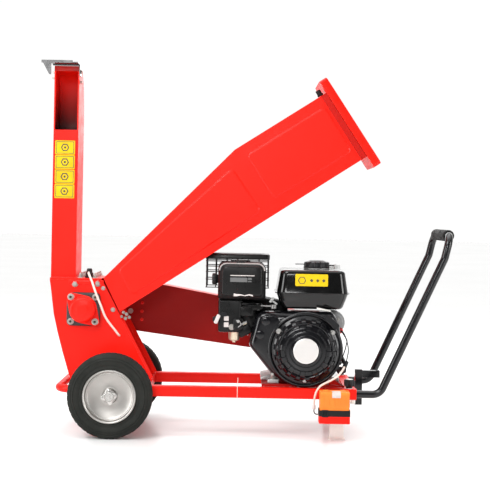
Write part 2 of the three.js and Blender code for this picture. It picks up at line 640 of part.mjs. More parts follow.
function beltGuardBack() {
  const plate = slabY(GUARD_OUTLINE, GUARD.back, GUARD.back + GUARD.plate);
  const h = GUARD.bearingHole;
  const [y0, y1] = [GUARD.back - 1, GUARD.back + GUARD.plate + 1];
  const bearingHole = box(ROTOR.x - h, ROTOR.x + h, y0, y1, ROTOR.z - h, ROTOR.z + h);
  const crankHole = rodY(ENGINE.x, ENGINE.z, GUARD.crankHole, y0, y1);
  return cut(plate, bearingHole, crankHole);
}

function beltGuardCover() {
  const near = GUARD.back + GUARD.plate + GAP;
  const inner = inset(GUARD_OUTLINE, GUARD_OUTLINE.map(() => GUARD.plate));
  const hollow = slabY(inner, near - 1, GUARD.outer - GUARD.plate);
  return cut(slabY(GUARD_OUTLINE, near, GUARD.outer), hollow);
}

function vPulley(radius, bore, x, z) {
  const { near, far, grooveHalf, grooveDepth } = PULLEY;
  const mid = (near + far) / 2;
  const root = radius - grooveDepth;
  const rootHalf = grooveHalf - 1.5;
  return turnedY([
    [bore, near], [radius, near], [radius, mid - grooveHalf], [root, mid - rootHalf],
    [root, mid + rootHalf], [radius, mid + grooveHalf], [radius, far], [bore, far], [bore, near],
  ], x, z, 32);
}

// The outline of a belt running round two pulleys, taken at the given distance from their rims.
function beltLoop(offset) {
  const span = new THREE.Vector2(ENGINE.x - ROTOR.x, ENGINE.z - ROTOR.z);
  const lean = span.angle();
  const rA = PULLEY.rotor + offset;
  const rB = PULLEY.engine + offset;
  const wrap = Math.acos((rA - rB) / span.length());
  const arc = (x, z, r, from, to) => Array.from({ length: 13 }, (_, i) => {
    const angle = from + ((to - from) * i) / 12;
    return [x + r * Math.cos(angle), z + r * Math.sin(angle)];
  });
  return [
    ...arc(ROTOR.x, ROTOR.z, rA, lean + wrap, lean + 2 * Math.PI - wrap),
    ...arc(ENGINE.x, ENGINE.z, rB, lean - wrap, lean + wrap),
  ];
}

function driveBelt() {
  const mid = (PULLEY.near + PULLEY.far) / 2;
  const outline = beltLoop(BELT.over);
  const inside = beltLoop(-BELT.under);
  const { half } = BELT;
  return cut(slabY(outline, mid - half, mid + half), slabY(inside, mid - half - 1, mid + half + 1));
}

place('belt_guard_back', beltGuardBack(), DARK_RED);
place('belt_guard_cover', beltGuardCover(), RED);
place('rotor_pulley', vPulley(PULLEY.rotor, ROTOR.shaft + GAP, ROTOR.x, ROTOR.z), CAST_IRON);
place('engine_pulley', vPulley(PULLEY.engine, ENGINE.shaft + GAP, ENGINE.x, ENGINE.z), CAST_IRON);
place('drive_belt', driveBelt(), RUBBER);

// ---------------------------------------------------------------- engine
const CRANKCASE_OUTLINE = [
  [48, ENGINE.base], [275, ENGINE.base], [275, 160], [225, 166], [218, 250], [210, 290], [195, 322],
  [120, 324], [80.5, 240.5], [82, 166], [48, 160],
];

function crankcase() {
  const body = slabY(CRANKCASE_OUTLINE, ENGINE.shroudBack + 2, ENGINE.ptoFace);
  const bore = rodY(ENGINE.x, ENGINE.z, ENGINE.shaft + GAP, ENGINE.shroudBack - 5, ENGINE.ptoFace + 5);
  return cut(body, bore);
}

// The cylinder leans 25 degrees above level, towards the chute; its fins are square to its bore.
const CYLINDER = { lean: THREE.MathUtils.degToRad(25), start: 80, end: 184, half: 44, core: 34, far: 58,
  fins: 6 };
function cylinderHead() {
  const pitch = (CYLINDER.end - CYLINDER.start) / CYLINDER.fins;
  const y0 = ENGINE.shroudBack + 6;
  const y1 = CYLINDER.far;
  const core = box(-CYLINDER.end, -CYLINDER.start, y0 + 10, y1 - 10, -CYLINDER.core, CYLINDER.core);
  const fins = Array.from({ length: CYLINDER.fins }, (_, i) => {
    const x = -CYLINDER.start - pitch * (i + 0.5);
    return box(x - 4, x, y0, y1, -CYLINDER.half, CYLINDER.half);
  });
  const block = join(core, ...fins);
  return block.rotateY(CYLINDER.lean).translate(ENGINE.x, 0, ENGINE.z);
}

const SHROUD_OUTLINE = [
  [10, 262], [76, 178], [104, 158], [216, 156], [250, 176], [268, 215], [272, 262], [269, 310],
  [258, 340], [246, 355], [24, 355], [10, 341],
];

function blowerHousing() {
  const { shroudFront: front, shroudBack: back } = ENGINE;
  const inner = inset(SHROUD_OUTLINE, SHROUD_OUTLINE.map(() => SHEET));
  const inlet = rodY(ENGINE.x, ENGINE.z, ENGINE.inlet, front - 5, front + 10, 28);
  return cut(slabY(SHROUD_OUTLINE, front, back), slabY(inner, front + SHEET, back + 5), inlet);
}

function recoilCover() {
  const seat = ENGINE.shroudFront - GAP;
  const face = ENGINE.recoilFront;
  return turnedY([
    [92, seat], [92, seat - 8], [78, face + 14], [56, face + 9], [44, face + 5], [36, face + 3], [36, face],
    [0, face], [0, face + 3], [32, face + 3], [33, face + 7], [53, face + 13], [75, face + 18],
    [88, seat - 6], [88, seat], [92, seat],
  ], ENGINE.x, ENGINE.z, 28);
}

// The T-shaped pull grip rests against its rope outlet, up and to the right of the recoil cover.
const RECOIL_GRIP = { x: 243, z: 330, y: -167, tilt: 0.72, half: 24, thick: 8 };
function recoilGrip() {
  const { half, thick } = RECOIL_GRIP;
  const outline = rounded(rectangle(-half, half, -thick, thick), 6);
  return slabY(outline, -thick, thick, { curveSegments: 3 });
}

function flywheel() {
  const bore = ENGINE.shaft + GAP;
  const { radius, front, back } = FLYWHEEL;
  const profile = [[bore, front], [radius, front], [radius, back], [bore, back], [bore, front]];
  return turnedY(profile, ENGINE.x, ENGINE.z, 32);
}

const TANK = { front: -150, back: 40, corner: 14 };
const TANK_OUTLINE = [[110, 362], [284, 362], [294, 409], [271, 473], [97, 473], [85, 409]];
function fuelTank() {
  const outline = rounded(TANK_OUTLINE, TANK.corner);
  const bevel = 9;
  return slabY(outline, TANK.front + bevel, TANK.back - bevel, {
    bevelEnabled: true, bevelSize: bevel, bevelThickness: bevel, bevelOffset: -bevel,
    bevelSegments: 3, curveSegments: 4,
  });
}

const FUEL_CAP = { x: 204, y: -60, radius: 37, plug: 24, bottom: 473.6, skirt: 478, top: 498 };
function fuelCap() {
  const { radius, plug, bottom, skirt, top } = FUEL_CAP;
  return turnedZ([
    [0, bottom], [plug, bottom], [plug, skirt], [radius, skirt], [radius, top - 9],
    [radius - 7, top - 2], [0, top],
  ], 0, 0, 28);
}

const CLEANER = { left: -78, right: 57, front: -160, back: -62, bottom: 386, top: 492 };
const CLEANER_KNOB = { y: -111, z: 442, radius: 16, length: 17 };
const CARB = { left: -66, right: 3, front: -140, back: -62, bottom: 291 };
const BOWL = { x: -30, y: -112, radius: 15.5, bottom: 259 };
function cleanerKnob() {
  const { radius, length } = CLEANER_KNOB;
  return new THREE.CylinderGeometry(radius, radius - 2, length, 20).rotateZ(Math.PI / 2);
}

function carburettor() {
  const block = box(CARB.left, CARB.right, CARB.front, CARB.back, CARB.bottom, CLEANER.bottom - GAP);
  const bowl = rodZ(BOWL.x, BOWL.y, BOWL.radius, BOWL.bottom, CARB.bottom + 1, 20);
  return join(block, bowl);
}

// Both levers are flat arms made about their own pivots, with a thicker tip.
const CHOKE = { x: -58, z: 344 };
const CHOKE_OUTLINE = [[-6, -6], [6, -6], [6, 6], [-6, 6], [-30, -7], [-30, -19]];
function chokeLever() {
  const arm = slabY(rounded(CHOKE_OUTLINE, 3), -3, 0, { curveSegments: 2 });
  const tip = box(-33, -22, -9, 0, -20, -8);
  return join(arm, tip);
}

const SHROUD_TOP = 355;
const THROTTLE = { x: 36, y: -120, turn: -0.72, reach: 58, top: 374 };
function throttleLever() {
  const { reach, top } = THROTTLE;
  const post = rodZ(0, 0, 5, SHROUD_TOP + GAP, top);
  const arm = box(0, reach - 2, -5, 5, top - 6, top - 3);
  const tip = rodZ(reach, 0, 8, top - 10, top);
  return join(post, arm, tip);
}

const MUFFLER = { left: -80, right: 48, near: -30, far: 55, bottom: 416, top: 488 };
function muffler() {
  const { left, right, near, far, bottom, top } = MUFFLER;
  return roundBox(left, right, near, far, bottom, top, 18, 8);
}

// A slotted box over the muffler, open below. One top edge is cut back under the hopper.
const MUFFLER_GUARD = { left: -117, right: 69, near: -45, far: 70, bottom: 410, top: 511, wall: 2.5 };
const SLOT = { first: 416, last: 490, pitch: 16, height: 12, edge: 6 };
function mufflerGuard() {
  const g = MUFFLER_GUARD;
  const outline = [[g.left, g.bottom], [g.right, g.bottom], [g.right, g.top], [g.left + 25, g.top],
    [g.left, g.top - 18]];
  const inner = inset(outline, [-1, g.wall, g.wall, g.wall, g.wall]);
  const shell = cut(slabY(outline, g.near, g.far), slabY(inner, g.near + g.wall, g.far - g.wall));
  const slots = [];
  for (let z = SLOT.first; z < SLOT.last; z += SLOT.pitch) {
    const top = z + SLOT.height;
    slots.push(box(g.left - 1, g.right + 1, g.near + SLOT.edge, g.far - SLOT.edge, z, top));
    slots.push(box(g.left + SLOT.edge, g.right - SLOT.edge, g.near - 1, g.far + 1, z, top));
  }
  return cut(shell, ...slots);
}

const STARTER = { x: 254, z: 318, radius: 34, near: -57, far: 50 };
const TERMINAL = { dx: 26, dz: -22, radius: 7, reach: 14 };
function starterMotor() {
  const { x, z, radius, near, far } = STARTER;
  const can = turnedY([
    [0, near], [radius - 8, near], [radius, near + 6], [radius, far - 20], [radius - 12, far], [0, far],
  ], x, z, 24);
  const terminal = rodY(x + TERMINAL.dx, z + TERMINAL.dz, TERMINAL.radius, near - TERMINAL.reach, near + 10,
    12);
  return join(can, terminal);
}

place('crankcase', crankcase(), ALUMINIUM);
place('cylinder_head', cylinderHead(), ALUMINIUM);
place('blower_housing', blowerHousing(), BLACK_PAINT);
place('recoil_cover', recoilCover(), BLACK_PAINT);
place('recoil_grip', recoilGrip(), BLACK_PLASTIC, {
  position: [RECOIL_GRIP.x, RECOIL_GRIP.y, RECOIL_GRIP.z],
  rotation: [0, RECOIL_GRIP.tilt, 0],
});
place('crankshaft', rodY(ENGINE.x, ENGINE.z, ENGINE.shaft, -ENGINE.shaftHalf, ENGINE.shaftHalf), STEEL);
place('flywheel', flywheel(), ALUMINIUM);
place('fuel_tank', fuelTank(), BLACK_PAINT);
place('fuel_cap', fuelCap(), BLACK_PLASTIC, { position: [FUEL_CAP.x, FUEL_CAP.y, 0] });
place('air_cleaner', roundBox(CLEANER.left, CLEANER.right, CLEANER.front, CLEANER.back, CLEANER.bottom,
  CLEANER.top, 14, 6), BLACK_PLASTIC);
place('air_cleaner_knob', cleanerKnob(), BLACK_PLASTIC, {
  position: [CLEANER.left - GAP - CLEANER_KNOB.length / 2, CLEANER_KNOB.y, CLEANER_KNOB.z],
});
place('carburettor', carburettor(), BLACK_PLASTIC);
place('choke_lever', chokeLever(), BLACK_PLASTIC, { position: [CHOKE.x, CARB.front - GAP, CHOKE.z] });
place('throttle_lever', throttleLever(), STEEL, {
  position: [THROTTLE.x, THROTTLE.y, 0],
  rotation: [0, 0, THROTTLE.turn],
});
place('muffler', muffler(), CAST_IRON);
place('muffler_guard', mufflerGuard(), BLACK_PAINT);
place('starter_motor', starterMotor(), CAST_IRON);

// ---------------------------------------------------------------- battery and wiring
function batteryStrap() {
  const { left, right, front, back } = BATTERY;
  const { thick, bottom, height } = STRAP;
  const loop = box(left - thick, right + thick, front - thick, back + thick, bottom, bottom + height);
  const inside = box(left - GAP, right + GAP, front - GAP, back + GAP, bottom - 1, bottom + height + 1);
  return cut(loop, inside);
}

const SWITCH = { left: -463, right: -439, near: -70, far: -44, top: 463 };

// The leads' routes are lists of points, each lead clipped between two fixed ends.
const at = (x, y, z) => new THREE.Vector3(x, y, z);
const SAFETY_ROUTE = [
  at(-451, -70.4, 451), at(-451, -80, 451), at(-446, -93, 443), at(-438, -101, 427), at(-431, -105, 409),
  at(-422, -109, 386), at(-412, -112, 364), at(-404, -111, 343), at(-395, -107, 323), at(-382, -100, 304),
  at(-369, -94, 287), at(-360, -91, 275), at(-358.5, -86, 272.5), at(-358.5, -80.5, 272.5),
];
const BATTERY_ROUTE = [
  at(280, -71.6, 296), at(280, -80, 296), at(286, -94, 286), at(292, -112, 266), at(294, -128, 247),
  at(290, -142, 228), at(284, -156, 210), at(276, -167, 196), at(262, -174, 180), at(245, -176, 168.5),
  at(228, -177, 160), at(213, -178, 151), at(203, -180, 137), at(198, -182, 120), at(196, -184, 104),
  at(196, -188, 92), at(196.5, -191, 81), at(201, -191, 75.5), at(207.4, -191, 75),
];
const lead = (route, radius, steps) => tube(new THREE.CatmullRomCurve3(route), radius, 0, steps, 8);
const LEAD_RADIUS = { safety: 3.5, battery: 3 };

place('battery', roundBox(BATTERY.left, BATTERY.right, BATTERY.front, BATTERY.back, BATTERY.bottom,
  BATTERY.top, 6, 3), ORANGE);
place('battery_strap', batteryStrap(), RUBBER);
place('safety_switch', roundBox(SWITCH.left, SWITCH.right, SWITCH.near, SWITCH.far, FLANGE_TOP + GAP,
  SWITCH.top, 5, 2), BLACK_PLASTIC);
place('safety_lead', lead(SAFETY_ROUTE, LEAD_RADIUS.safety, 24), WHITE_PLASTIC);
place('battery_lead', lead(BATTERY_ROUTE, LEAD_RADIUS.battery, 34), WHITE_PLASTIC);

export default chipper;
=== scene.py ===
"""Petrol wood chipper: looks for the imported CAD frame. Metres, +Z up, -Y is the recoil-starter side."""
import json
import math
import bmesh
import bpy
from mathutils import Matrix, Vector


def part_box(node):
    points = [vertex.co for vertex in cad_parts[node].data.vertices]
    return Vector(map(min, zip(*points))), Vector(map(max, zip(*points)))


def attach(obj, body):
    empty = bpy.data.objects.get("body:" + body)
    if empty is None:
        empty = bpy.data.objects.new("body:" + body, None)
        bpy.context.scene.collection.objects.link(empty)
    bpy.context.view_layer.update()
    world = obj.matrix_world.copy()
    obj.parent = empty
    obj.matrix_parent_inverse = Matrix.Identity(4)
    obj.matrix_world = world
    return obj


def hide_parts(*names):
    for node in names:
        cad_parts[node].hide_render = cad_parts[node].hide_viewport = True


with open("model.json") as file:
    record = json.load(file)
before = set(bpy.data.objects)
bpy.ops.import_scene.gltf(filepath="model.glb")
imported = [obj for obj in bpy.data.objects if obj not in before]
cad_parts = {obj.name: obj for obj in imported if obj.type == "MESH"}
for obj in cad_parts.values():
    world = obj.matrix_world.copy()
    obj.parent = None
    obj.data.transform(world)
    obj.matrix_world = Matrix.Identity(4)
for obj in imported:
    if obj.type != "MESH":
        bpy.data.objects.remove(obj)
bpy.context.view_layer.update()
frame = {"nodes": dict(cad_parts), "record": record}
MM = 0.001
SIDES = (("near", -1), ("far", 1))
BODY_OF = {node: body for body, nodes in frame["record"]["behaviour"]["bodies"].items() for node in nodes}

# ------------------------------------------------------------------ camera, lights and floor
CAMERA_PLACE = (-0.0054, -3.628, 0.6246)
CAMERA_ROLL = math.radians(1.05)
FIELD_OF_VIEW = math.radians(22.4)
FRAME_SHIFT = -0.0612
LIGHT_TARGET = (0, 0, 0.5)
CHUTE_TARGET = (-0.5, 0, 0.9)
# name, place, size, watts and target
LAMPS = (
    ("key_light", (-1.7, -2.6, 3.1), (1.9, 1.3), 78, LIGHT_TARGET),
    ("left_light", (-2.9, -1.7, 0.95), (1.1, 1.9), 48, LIGHT_TARGET),
    ("right_light", (2.9, -1.8, 1.1), (1.1, 1.9), 50, LIGHT_TARGET),
    ("front_light", (-0.6, -3.9, 1.45), (1.4, 0.5), 30, CHUTE_TARGET),
    ("top_light", (0.0, 0.3, 3.4), (3.0, 2.4), 40, LIGHT_TARGET),
    ("back_light", (0.6, 3.0, 1.8), (3.0, 1.8), 30, LIGHT_TARGET),
)
SKY_POWER = 1.93
SKY_SPREAD = math.radians(85)
SKY_DIRECTION = (0.05, 0.12, -1.0)
# the air is dim behind the camera, so that black parts reflect little, and bright at the back
AIR_COLOR = (1.0, 0.998, 0.994, 1)
AIR_RAMP = (("From Min", -0.55), ("From Max", 0.75), ("To Min", 0.12), ("To Max", 1.02))
FLOOR_EDGE = 30.0


def add_camera():
    data = bpy.data.cameras.new("camera")
    data.angle = FIELD_OF_VIEW
    data.shift_y = FRAME_SHIFT
    camera = bpy.data.objects.new("camera", data)
    bpy.context.scene.collection.objects.link(camera)
    turn = Matrix.Rotation(math.pi / 2, 4, "X") @ Matrix.Rotation(CAMERA_ROLL, 4, "Z")
    camera.matrix_world = Matrix.Translation(CAMERA_PLACE) @ turn
    bpy.context.scene.camera = camera


def add_lamp(name, place, size, power, target):
    data = bpy.data.lights.new(name, "AREA")
    data.shape = "RECTANGLE"
    data.size, data.size_y = size
    data.energy = power
    light = bpy.data.objects.new(name, data)
    bpy.context.scene.collection.objects.link(light)
    aim = Vector(target) - Vector(place)
    light.matrix_world = Matrix.Translation(place) @ aim.to_track_quat("-Z", "Y").to_matrix().to_4x4()


def add_sky():
    """A very wide, even light from above, which keeps the floor white into the distance."""
    data = bpy.data.lights.new("sky_light", "SUN")
    data.energy = SKY_POWER
    data.angle = SKY_SPREAD
    sky = bpy.data.objects.new("sky_light", data)
    bpy.context.scene.collection.objects.link(sky)
    sky.matrix_world = Vector(SKY_DIRECTION).to_track_quat("-Z", "Y").to_matrix().to_4x4()


def add_air():
    world = bpy.data.worlds.new("studio_air")
    world.use_nodes = True
    tree = world.node_tree
    place = tree.nodes.new("ShaderNodeTexCoord")
    parts = tree.nodes.new("ShaderNodeSeparateXYZ")
    depth = tree.nodes.new("ShaderNodeMapRange")
    tree.links.new(place.outputs["Generated"], parts.inputs[0])
    tree.links.new(parts.outputs[1], depth.inputs["Value"])
    for key, value in AIR_RAMP:
        depth.inputs[key].default_value = value
    tree.links.new(depth.outputs[0], tree.nodes["Background"].inputs[1])
    tree.nodes["Background"].inputs[0].default_value = AIR_COLOR
    bpy.context.scene.world = world


def add_floor():
    mesh = bpy.data.meshes.new("studio_floor")
    corners = [(x * FLOOR_EDGE, y * FLOOR_EDGE, 0) for x, y in ((-1, -1), (1, -1), (1, 1), (-1, 1))]
    mesh.from_pydata(corners, [], [(0, 1, 2, 3)])
    floor = bpy.data.objects.new("studio_floor", mesh)
    bpy.context.scene.collection.objects.link(floor)
    floor.data.materials.append(floor_material())


def add_studio():
    for lamp in LAMPS:
        add_lamp(*lamp)
    add_sky()
    add_air()
    add_floor()
    bpy.context.scene.view_settings.view_transform = "Standard"


# ------------------------------------------------------------------ materials
class Surface:
    """A node material under construction: one principled shader and its helpers."""

    def __init__(self, name):
        self.material = bpy.data.materials.new(name)
        self.material.use_nodes = True
        self.tree = self.material.node_tree
        self.shader = self.tree.nodes["Principled BSDF"]
        self.coords = self.node("ShaderNodeTexCoord").outputs["Object"]

    def node(self, kind, inputs=None, **settings):
        made = self.tree.nodes.new(kind)
        for key, value in settings.items():
            setattr(made, key, value)
        for key, value in (inputs or {}).items():
            self.feed(made.inputs[key], value)
        return made

    def feed(self, socket, value):
        if hasattr(value, "is_output"):
            self.tree.links.new(value, socket)
        else:
            socket.default_value = value

    def set(self, **values):
        for key, value in values.items():
            self.feed(self.shader.inputs[key.replace("_", " ")], value)
        return self

    def noise(self, scale, detail=3.0, rough=0.55, stretch=(1, 1, 1)):
        mapped = self.node("ShaderNodeMapping", {"Vector": self.coords, "Scale": stretch}).outputs[0]
        made = self.node("ShaderNodeTexNoise", {"Vector": mapped, "Scale": scale, "Detail": detail,
                                                "Roughness": rough})
        return made.outputs["Fac"]

    def spread(self, value, out_low, out_high, in_low=0.3, in_high=0.7):
        made = self.node("ShaderNodeMapRange", {"Value": value, "From Min": in_low, "From Max": in_high,
                                                "To Min": out_low, "To Max": out_high})
        return made.outputs[0]

    def mix(self, factor, first, second):
        made = self.node("ShaderNodeMix", data_type="RGBA")
        self.feed(made.inputs[0], factor)
        self.feed(made.inputs[6], first)
        self.feed(made.inputs[7], second)
        return made.outputs[2]

    def product(self, a, b):
        return self.node("ShaderNodeMath", {0: a, 1: b}, operation="MULTIPLY").outputs[0]

    def edge(self, radius, threshold=0.03):
        """One on sharp edges, zero on flat faces."""
        bevel = self.node("ShaderNodeBevel", {"Radius": radius}, samples=4).outputs[0]
        true_normal = self.node("ShaderNodeNewGeometry").outputs["Normal"]
        facing = self.node("ShaderNodeVectorMath", {0: bevel, 1: true_normal}, operation="DOT_PRODUCT")
        return self.spread(facing.outputs["Value"], 1.0, 0.0, 1 - threshold - 0.04, 1 - threshold)

    def bump(self, height, strength, distance, over=None):
        inputs = {"Height": height, "Strength": strength, "Distance": distance}
        if over is not None:
            inputs["Normal"] = over
        normal = self.node("ShaderNodeBump", inputs).outputs[0]
        self.set(Normal=normal)
        return normal


SHADE_MASK_EDGE = 0.0005
DUST = (0.055, 0.052, 0.046)
FLOOR_TONES = (0.80, 0.80, 0.795), (0.84, 0.84, 0.835)


def rgba(color):
    return (*color, 1.0)


def shade(color, factor):
    return rgba(tuple(c * factor for c in color))


def paint(name, color, rough=0.3, wear=0.55, coat=0.35, specular=0.5, stains=()):
    """Powder coat: fine orange peel, slow colour drift, thin worn edges and optional patches of painted
    shade.
    """
    s = Surface(name)
    drift = s.noise(3.0, 4.0)
    grime = s.noise(22.0, 5.0, 0.65)
    base = s.mix(s.spread(drift, 0, 1), shade(color, 0.92), shade(color, 1.06))
    base = s.mix(s.spread(grime, 0.0, 0.08, 0.55, 0.75), base, shade(color, 0.55))
    chips = s.spread(s.noise(160.0, 3.0), 0, 1, 0.5, 0.62)
    worn = s.product(s.product(s.edge(0.0012), chips), wear)
    base = s.mix(worn, base, shade(color, 3.0) if max(color) < 0.1 else rgba(WORN_RED))
    # painted shade: each patch darkens a box of the surface to a tone of its colour, ramped in height
    for shade_patch in stains:
        parts = s.node("ShaderNodeSeparateXYZ", {0: s.coords})
        mask = s.spread(parts.outputs[2], shade_patch["below"], shade_patch["above"], *shade_patch["z"])
        for axis, key in enumerate("xy"):
            start, end = shade_patch[key]
            mask = s.product(mask, s.spread(parts.outputs[axis], 0.0, 1.0, start, start + SHADE_MASK_EDGE))
            mask = s.product(mask, s.spread(parts.outputs[axis], 1.0, 0.0, end - SHADE_MASK_EDGE, end))
        base = s.mix(mask, base, shade(color, shade_patch["tone"]))
    s.set(Base_Color=base, Roughness=s.spread(s.noise(40.0), rough - 0.05, rough + 0.08))
    s.set(Coat_Weight=coat, Coat_Roughness=0.12, Specular_IOR_Level=specular)
    peel = s.noise(420.0, 2.0)
    first = s.bump(peel, 0.06, 0.0006)
    s.bump(s.noise(9.0, 2.0), 0.05, 0.004, first)
    return s.material


def plastic(name, color, rough=0.45, grain=0.12, scale=900.0, specular=0.4):
    """Moulded plastic with a fine spark-eroded grain and slightly rubbed edges."""
    s = Surface(name)
    base = s.mix(s.spread(s.noise(14.0, 4.0), 0, 1), shade(color, 0.85), shade(color, 1.2))
    rub = s.product(s.edge(0.0010), 0.5)
    base = s.mix(rub, base, shade(color, 2.2 if max(color) < 0.2 else 1.1))
    s.set(Base_Color=base, Roughness=s.spread(s.noise(60.0, 4.0), rough - 0.06, rough + 0.1))
    s.set(Specular_IOR_Level=specular)
    s.bump(s.noise(scale, 2.0), grain, 0.0004)
    return s.material


def rubber(name, color, rough):
    """Matte rubber with dust in a broad pattern."""
    s = Surface(name)
    dust = s.spread(s.noise(11.0, 6.0, 0.6), 0.0, 0.2, 0.45, 0.75)
    base = s.mix(dust, rgba(color), rgba(DUST))
    s.set(Base_Color=base, Roughness=s.spread(s.noise(35.0, 4.0), rough - 0.06, rough + 0.14))
    s.set(Specular_IOR_Level=0.22)
    s.bump(s.noise(700.0, 3.0), 0.2, 0.0005)
    return s.material


def metal(name, color, rough=0.28, brush=(1, 1, 1), brushing=0.12, tarnish=0.25, metallic=1.0):
    """Bare or plated metal; brush stretches the fine scratches along an axis."""
    s = Surface(name)
    spots = s.spread(s.noise(30.0, 6.0, 0.7), 0.0, tarnish, 0.5, 0.8)
    base = s.mix(spots, rgba(color), shade(color, 0.45))
    lines = s.noise(260.0, 4.0, 0.6, brush)
    s.set(Base_Color=base, Metallic=metallic, Roughness=s.spread(lines, rough - 0.07, rough + 0.1))
    s.bump(lines, brushing, 0.0003)
    return s.material


def casting(name, color, metallic=0.85, rough=0.5):
    """Sand-cast metal with a pebbled skin."""
    s = Surface(name)
    base = s.mix(s.spread(s.noise(50.0, 5.0), 0, 1), shade(color, 0.75), shade(color, 1.15))
    s.set(Base_Color=base, Metallic=metallic)
    s.set(Roughness=s.spread(s.noise(90.0, 4.0), rough - 0.1, rough + 0.12))
    s.bump(s.noise(380.0, 4.0, 0.6), 0.35, 0.0008)
    return s.material


def floor_material():
    s = Surface("studio_floor")
    s.set(Base_Color=s.mix(s.spread(s.noise(0.7), 0, 1), *(rgba(tone) for tone in FLOOR_TONES)))
    s.set(Roughness=0.22, Specular_IOR_Level=0.35)
    return s.material


add_camera()
add_studio()

RED = (0.81, 0.009, 0.003)
WORN_RED = (0.86, 0.20, 0.15)
CHUTE_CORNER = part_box("chute")[0]
CHUTE_WIDTH = 0.072
CHUTE_HALF = 0.060
SHEET = 0.0012
INSIDE_SHADE_HEIGHTS = (0.87, 0.99)
OUTLET_TOP = 1.03


def between(centre, half):
    return centre - half, centre + half


# painted shade: the chute's inside darkens towards its foot, where little light reaches, and the strip above
# the outlet is darkened for the flap's shadow
CHUTE_PAINTED_SHADE = (
    {"x": between(CHUTE_CORNER.x + CHUTE_WIDTH / 2, CHUTE_WIDTH / 2 - SHEET),
     "y": between(0, CHUTE_HALF - SHEET), "z": INSIDE_SHADE_HEIGHTS, "below": 1.0, "above": 0.0, "tone": 0.09},
    {"x": between(CHUTE_CORNER.x + CHUTE_WIDTH / 2, CHUTE_WIDTH / 2 + SHEET),
     "y": between(-CHUTE_HALF, SHEET), "z": (OUTLET_TOP - SHADE_MASK_EDGE, OUTLET_TOP), "below": 0.0, "above": 1.0,
     "tone": 0.42},
)
LOOKS = {}


def add_look(make, name, color, slot=None, **settings):
    """Makes one material; slot, the record's slot that it stands for, is not used."""
    LOOKS[name] = make(name, color, **settings)


add_look(paint, "red_paint", RED, rough=0.38, wear=0.45, coat=0.05, specular=0.16)
add_look(paint, "chute_paint", RED, rough=0.38, wear=0.45, coat=0.05, specular=0.16, stains=CHUTE_PAINTED_SHADE,
         slot="red_paint")
# painted shade: a darker red, worn by red parts that stand in shade
add_look(paint, "dark_red_paint", (0.31, 0.004, 0.002), rough=0.45, wear=0.4, coat=0.02, specular=0.14)
add_look(paint, "black_paint", (0.004, 0.004, 0.005), rough=0.16, wear=0.25, coat=0.3, specular=0.3)
add_look(plastic, "black_plastic", (0.006, 0.006, 0.007), rough=0.38, specular=0.28)
add_look(plastic, "gloss_black_plastic", (0.004, 0.004, 0.005), rough=0.13, grain=0.03)
add_look(rubber, "tyre_rubber", (0.011, 0.012, 0.010), rough=0.74)
add_look(rubber, "black_rubber", (0.008, 0.008, 0.008), rough=0.6)
add_look(metal, "bright_steel", (0.52, 0.51, 0.49), rough=0.3, metallic=0.95)
add_look(metal, "zinc_plate", (0.82, 0.79, 0.74), rough=0.36, tarnish=0.15, metallic=0.6)
add_look(casting, "cast_iron", (0.045, 0.045, 0.045), metallic=0.5, rough=0.5)
add_look(casting, "cast_aluminium", (0.50, 0.50, 0.49))
add_look(casting, "starter_grey", (0.26, 0.26, 0.26), metallic=0.4, rough=0.5, slot="cast_aluminium")
add_look(plastic, "orange_plastic", (0.90, 0.21, 0.025), rough=0.42, grain=0.1, specular=0.25)
add_look(plastic, "white_plastic", (0.66, 0.54, 0.48), rough=0.42, grain=0.06)
add_look(metal, "wheel_steel", (0.40, 0.385, 0.365), rough=0.40, tarnish=0.12, slot="bright_steel")
add_look(metal, "badge_silver", (0.72, 0.70, 0.68), rough=0.42, tarnish=0.05, metallic=0.8,
         slot="bright_steel")
add_look(metal, "bowl_brass", (0.66, 0.58, 0.44), rough=0.4, tarnish=0.3, slot="cast_aluminium")
add_look(plastic, "case_black", (0.005, 0.005, 0.005), rough=0.28, grain=0.06, specular=0.22,
         slot="black_plastic")
add_look(paint, "tank_black", (0.003, 0.003, 0.003), rough=0.1, wear=0.15, coat=0.25, specular=0.3,
         slot="gloss_black_plastic")
add_look(plastic, "red_plastic", (0.55, 0.02, 0.02), rough=0.4, grain=0.08, slot="red_paint")
add_look(plastic, "label_yellow", (0.60, 0.41, 0.008), rough=0.42, grain=0.03, specular=0.12,
         slot="white_plastic")
add_look(metal, "bolt_steel", (0.44, 0.42, 0.39), rough=0.34, tarnish=0.25, metallic=0.9, slot="zinc_plate")
add_look(paint, "shadow_red", (0.40, 0.005, 0.002), rough=0.45, wear=0.4, coat=0.02, specular=0.1,
         slot="red_paint")
add_look(metal, "lever_steel", (0.24, 0.235, 0.23), rough=0.34, tarnish=0.2)
# painted highlight: the light grey of the band along the air cleaner's top
add_look(plastic, "seal_grey", (0.34, 0.31, 0.30), rough=0.4, grain=0.05, slot="black_plastic")
add_look(plastic, "label_ink", (0.05, 0.045, 0.03), rough=0.45, grain=0.03, slot="black_plastic")
add_look(plastic, "label_grey", (0.11, 0.11, 0.11), rough=0.45, grain=0.03, slot="black_plastic")
add_look(plastic, "label_white", (0.56, 0.51, 0.49), rough=0.4, grain=0.03, slot="white_plastic")


# ------------------------------------------------------------------ mesh building, in millimetres
NEAR = (0, -1, 0)
FAR = (0, 1, 0)
UP = (0, 0, 1)
DOWN = (0, 0, -1)
LEFT = (-1, 0, 0)
RIGHT = (1, 0, 0)
HAIR = 0.01
AXIS_OF = {row["name"]: Vector(row["pos_m"]) / MM for row in frame["record"]["behaviour"]["joints"]}


def low(node):
    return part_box(node)[0] / MM


def high(node):
    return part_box(node)[1] / MM


def at(node, fx, fy, fz, dx=0.0, dy=0.0, dz=0.0):
    """A point given as fractions of a node's box plus an offset, in millimetres."""
    a, b = low(node), high(node)
    return Vector((a.x + (b.x - a.x) * fx + dx, a.y + (b.y - a.y) * fy + dy, a.z + (b.z - a.z) * fz + dz))


def middle(node):
    return at(node, 0.5, 0.5, 0.5)


def half_size(node):
    return (high(node) - low(node)) / 2


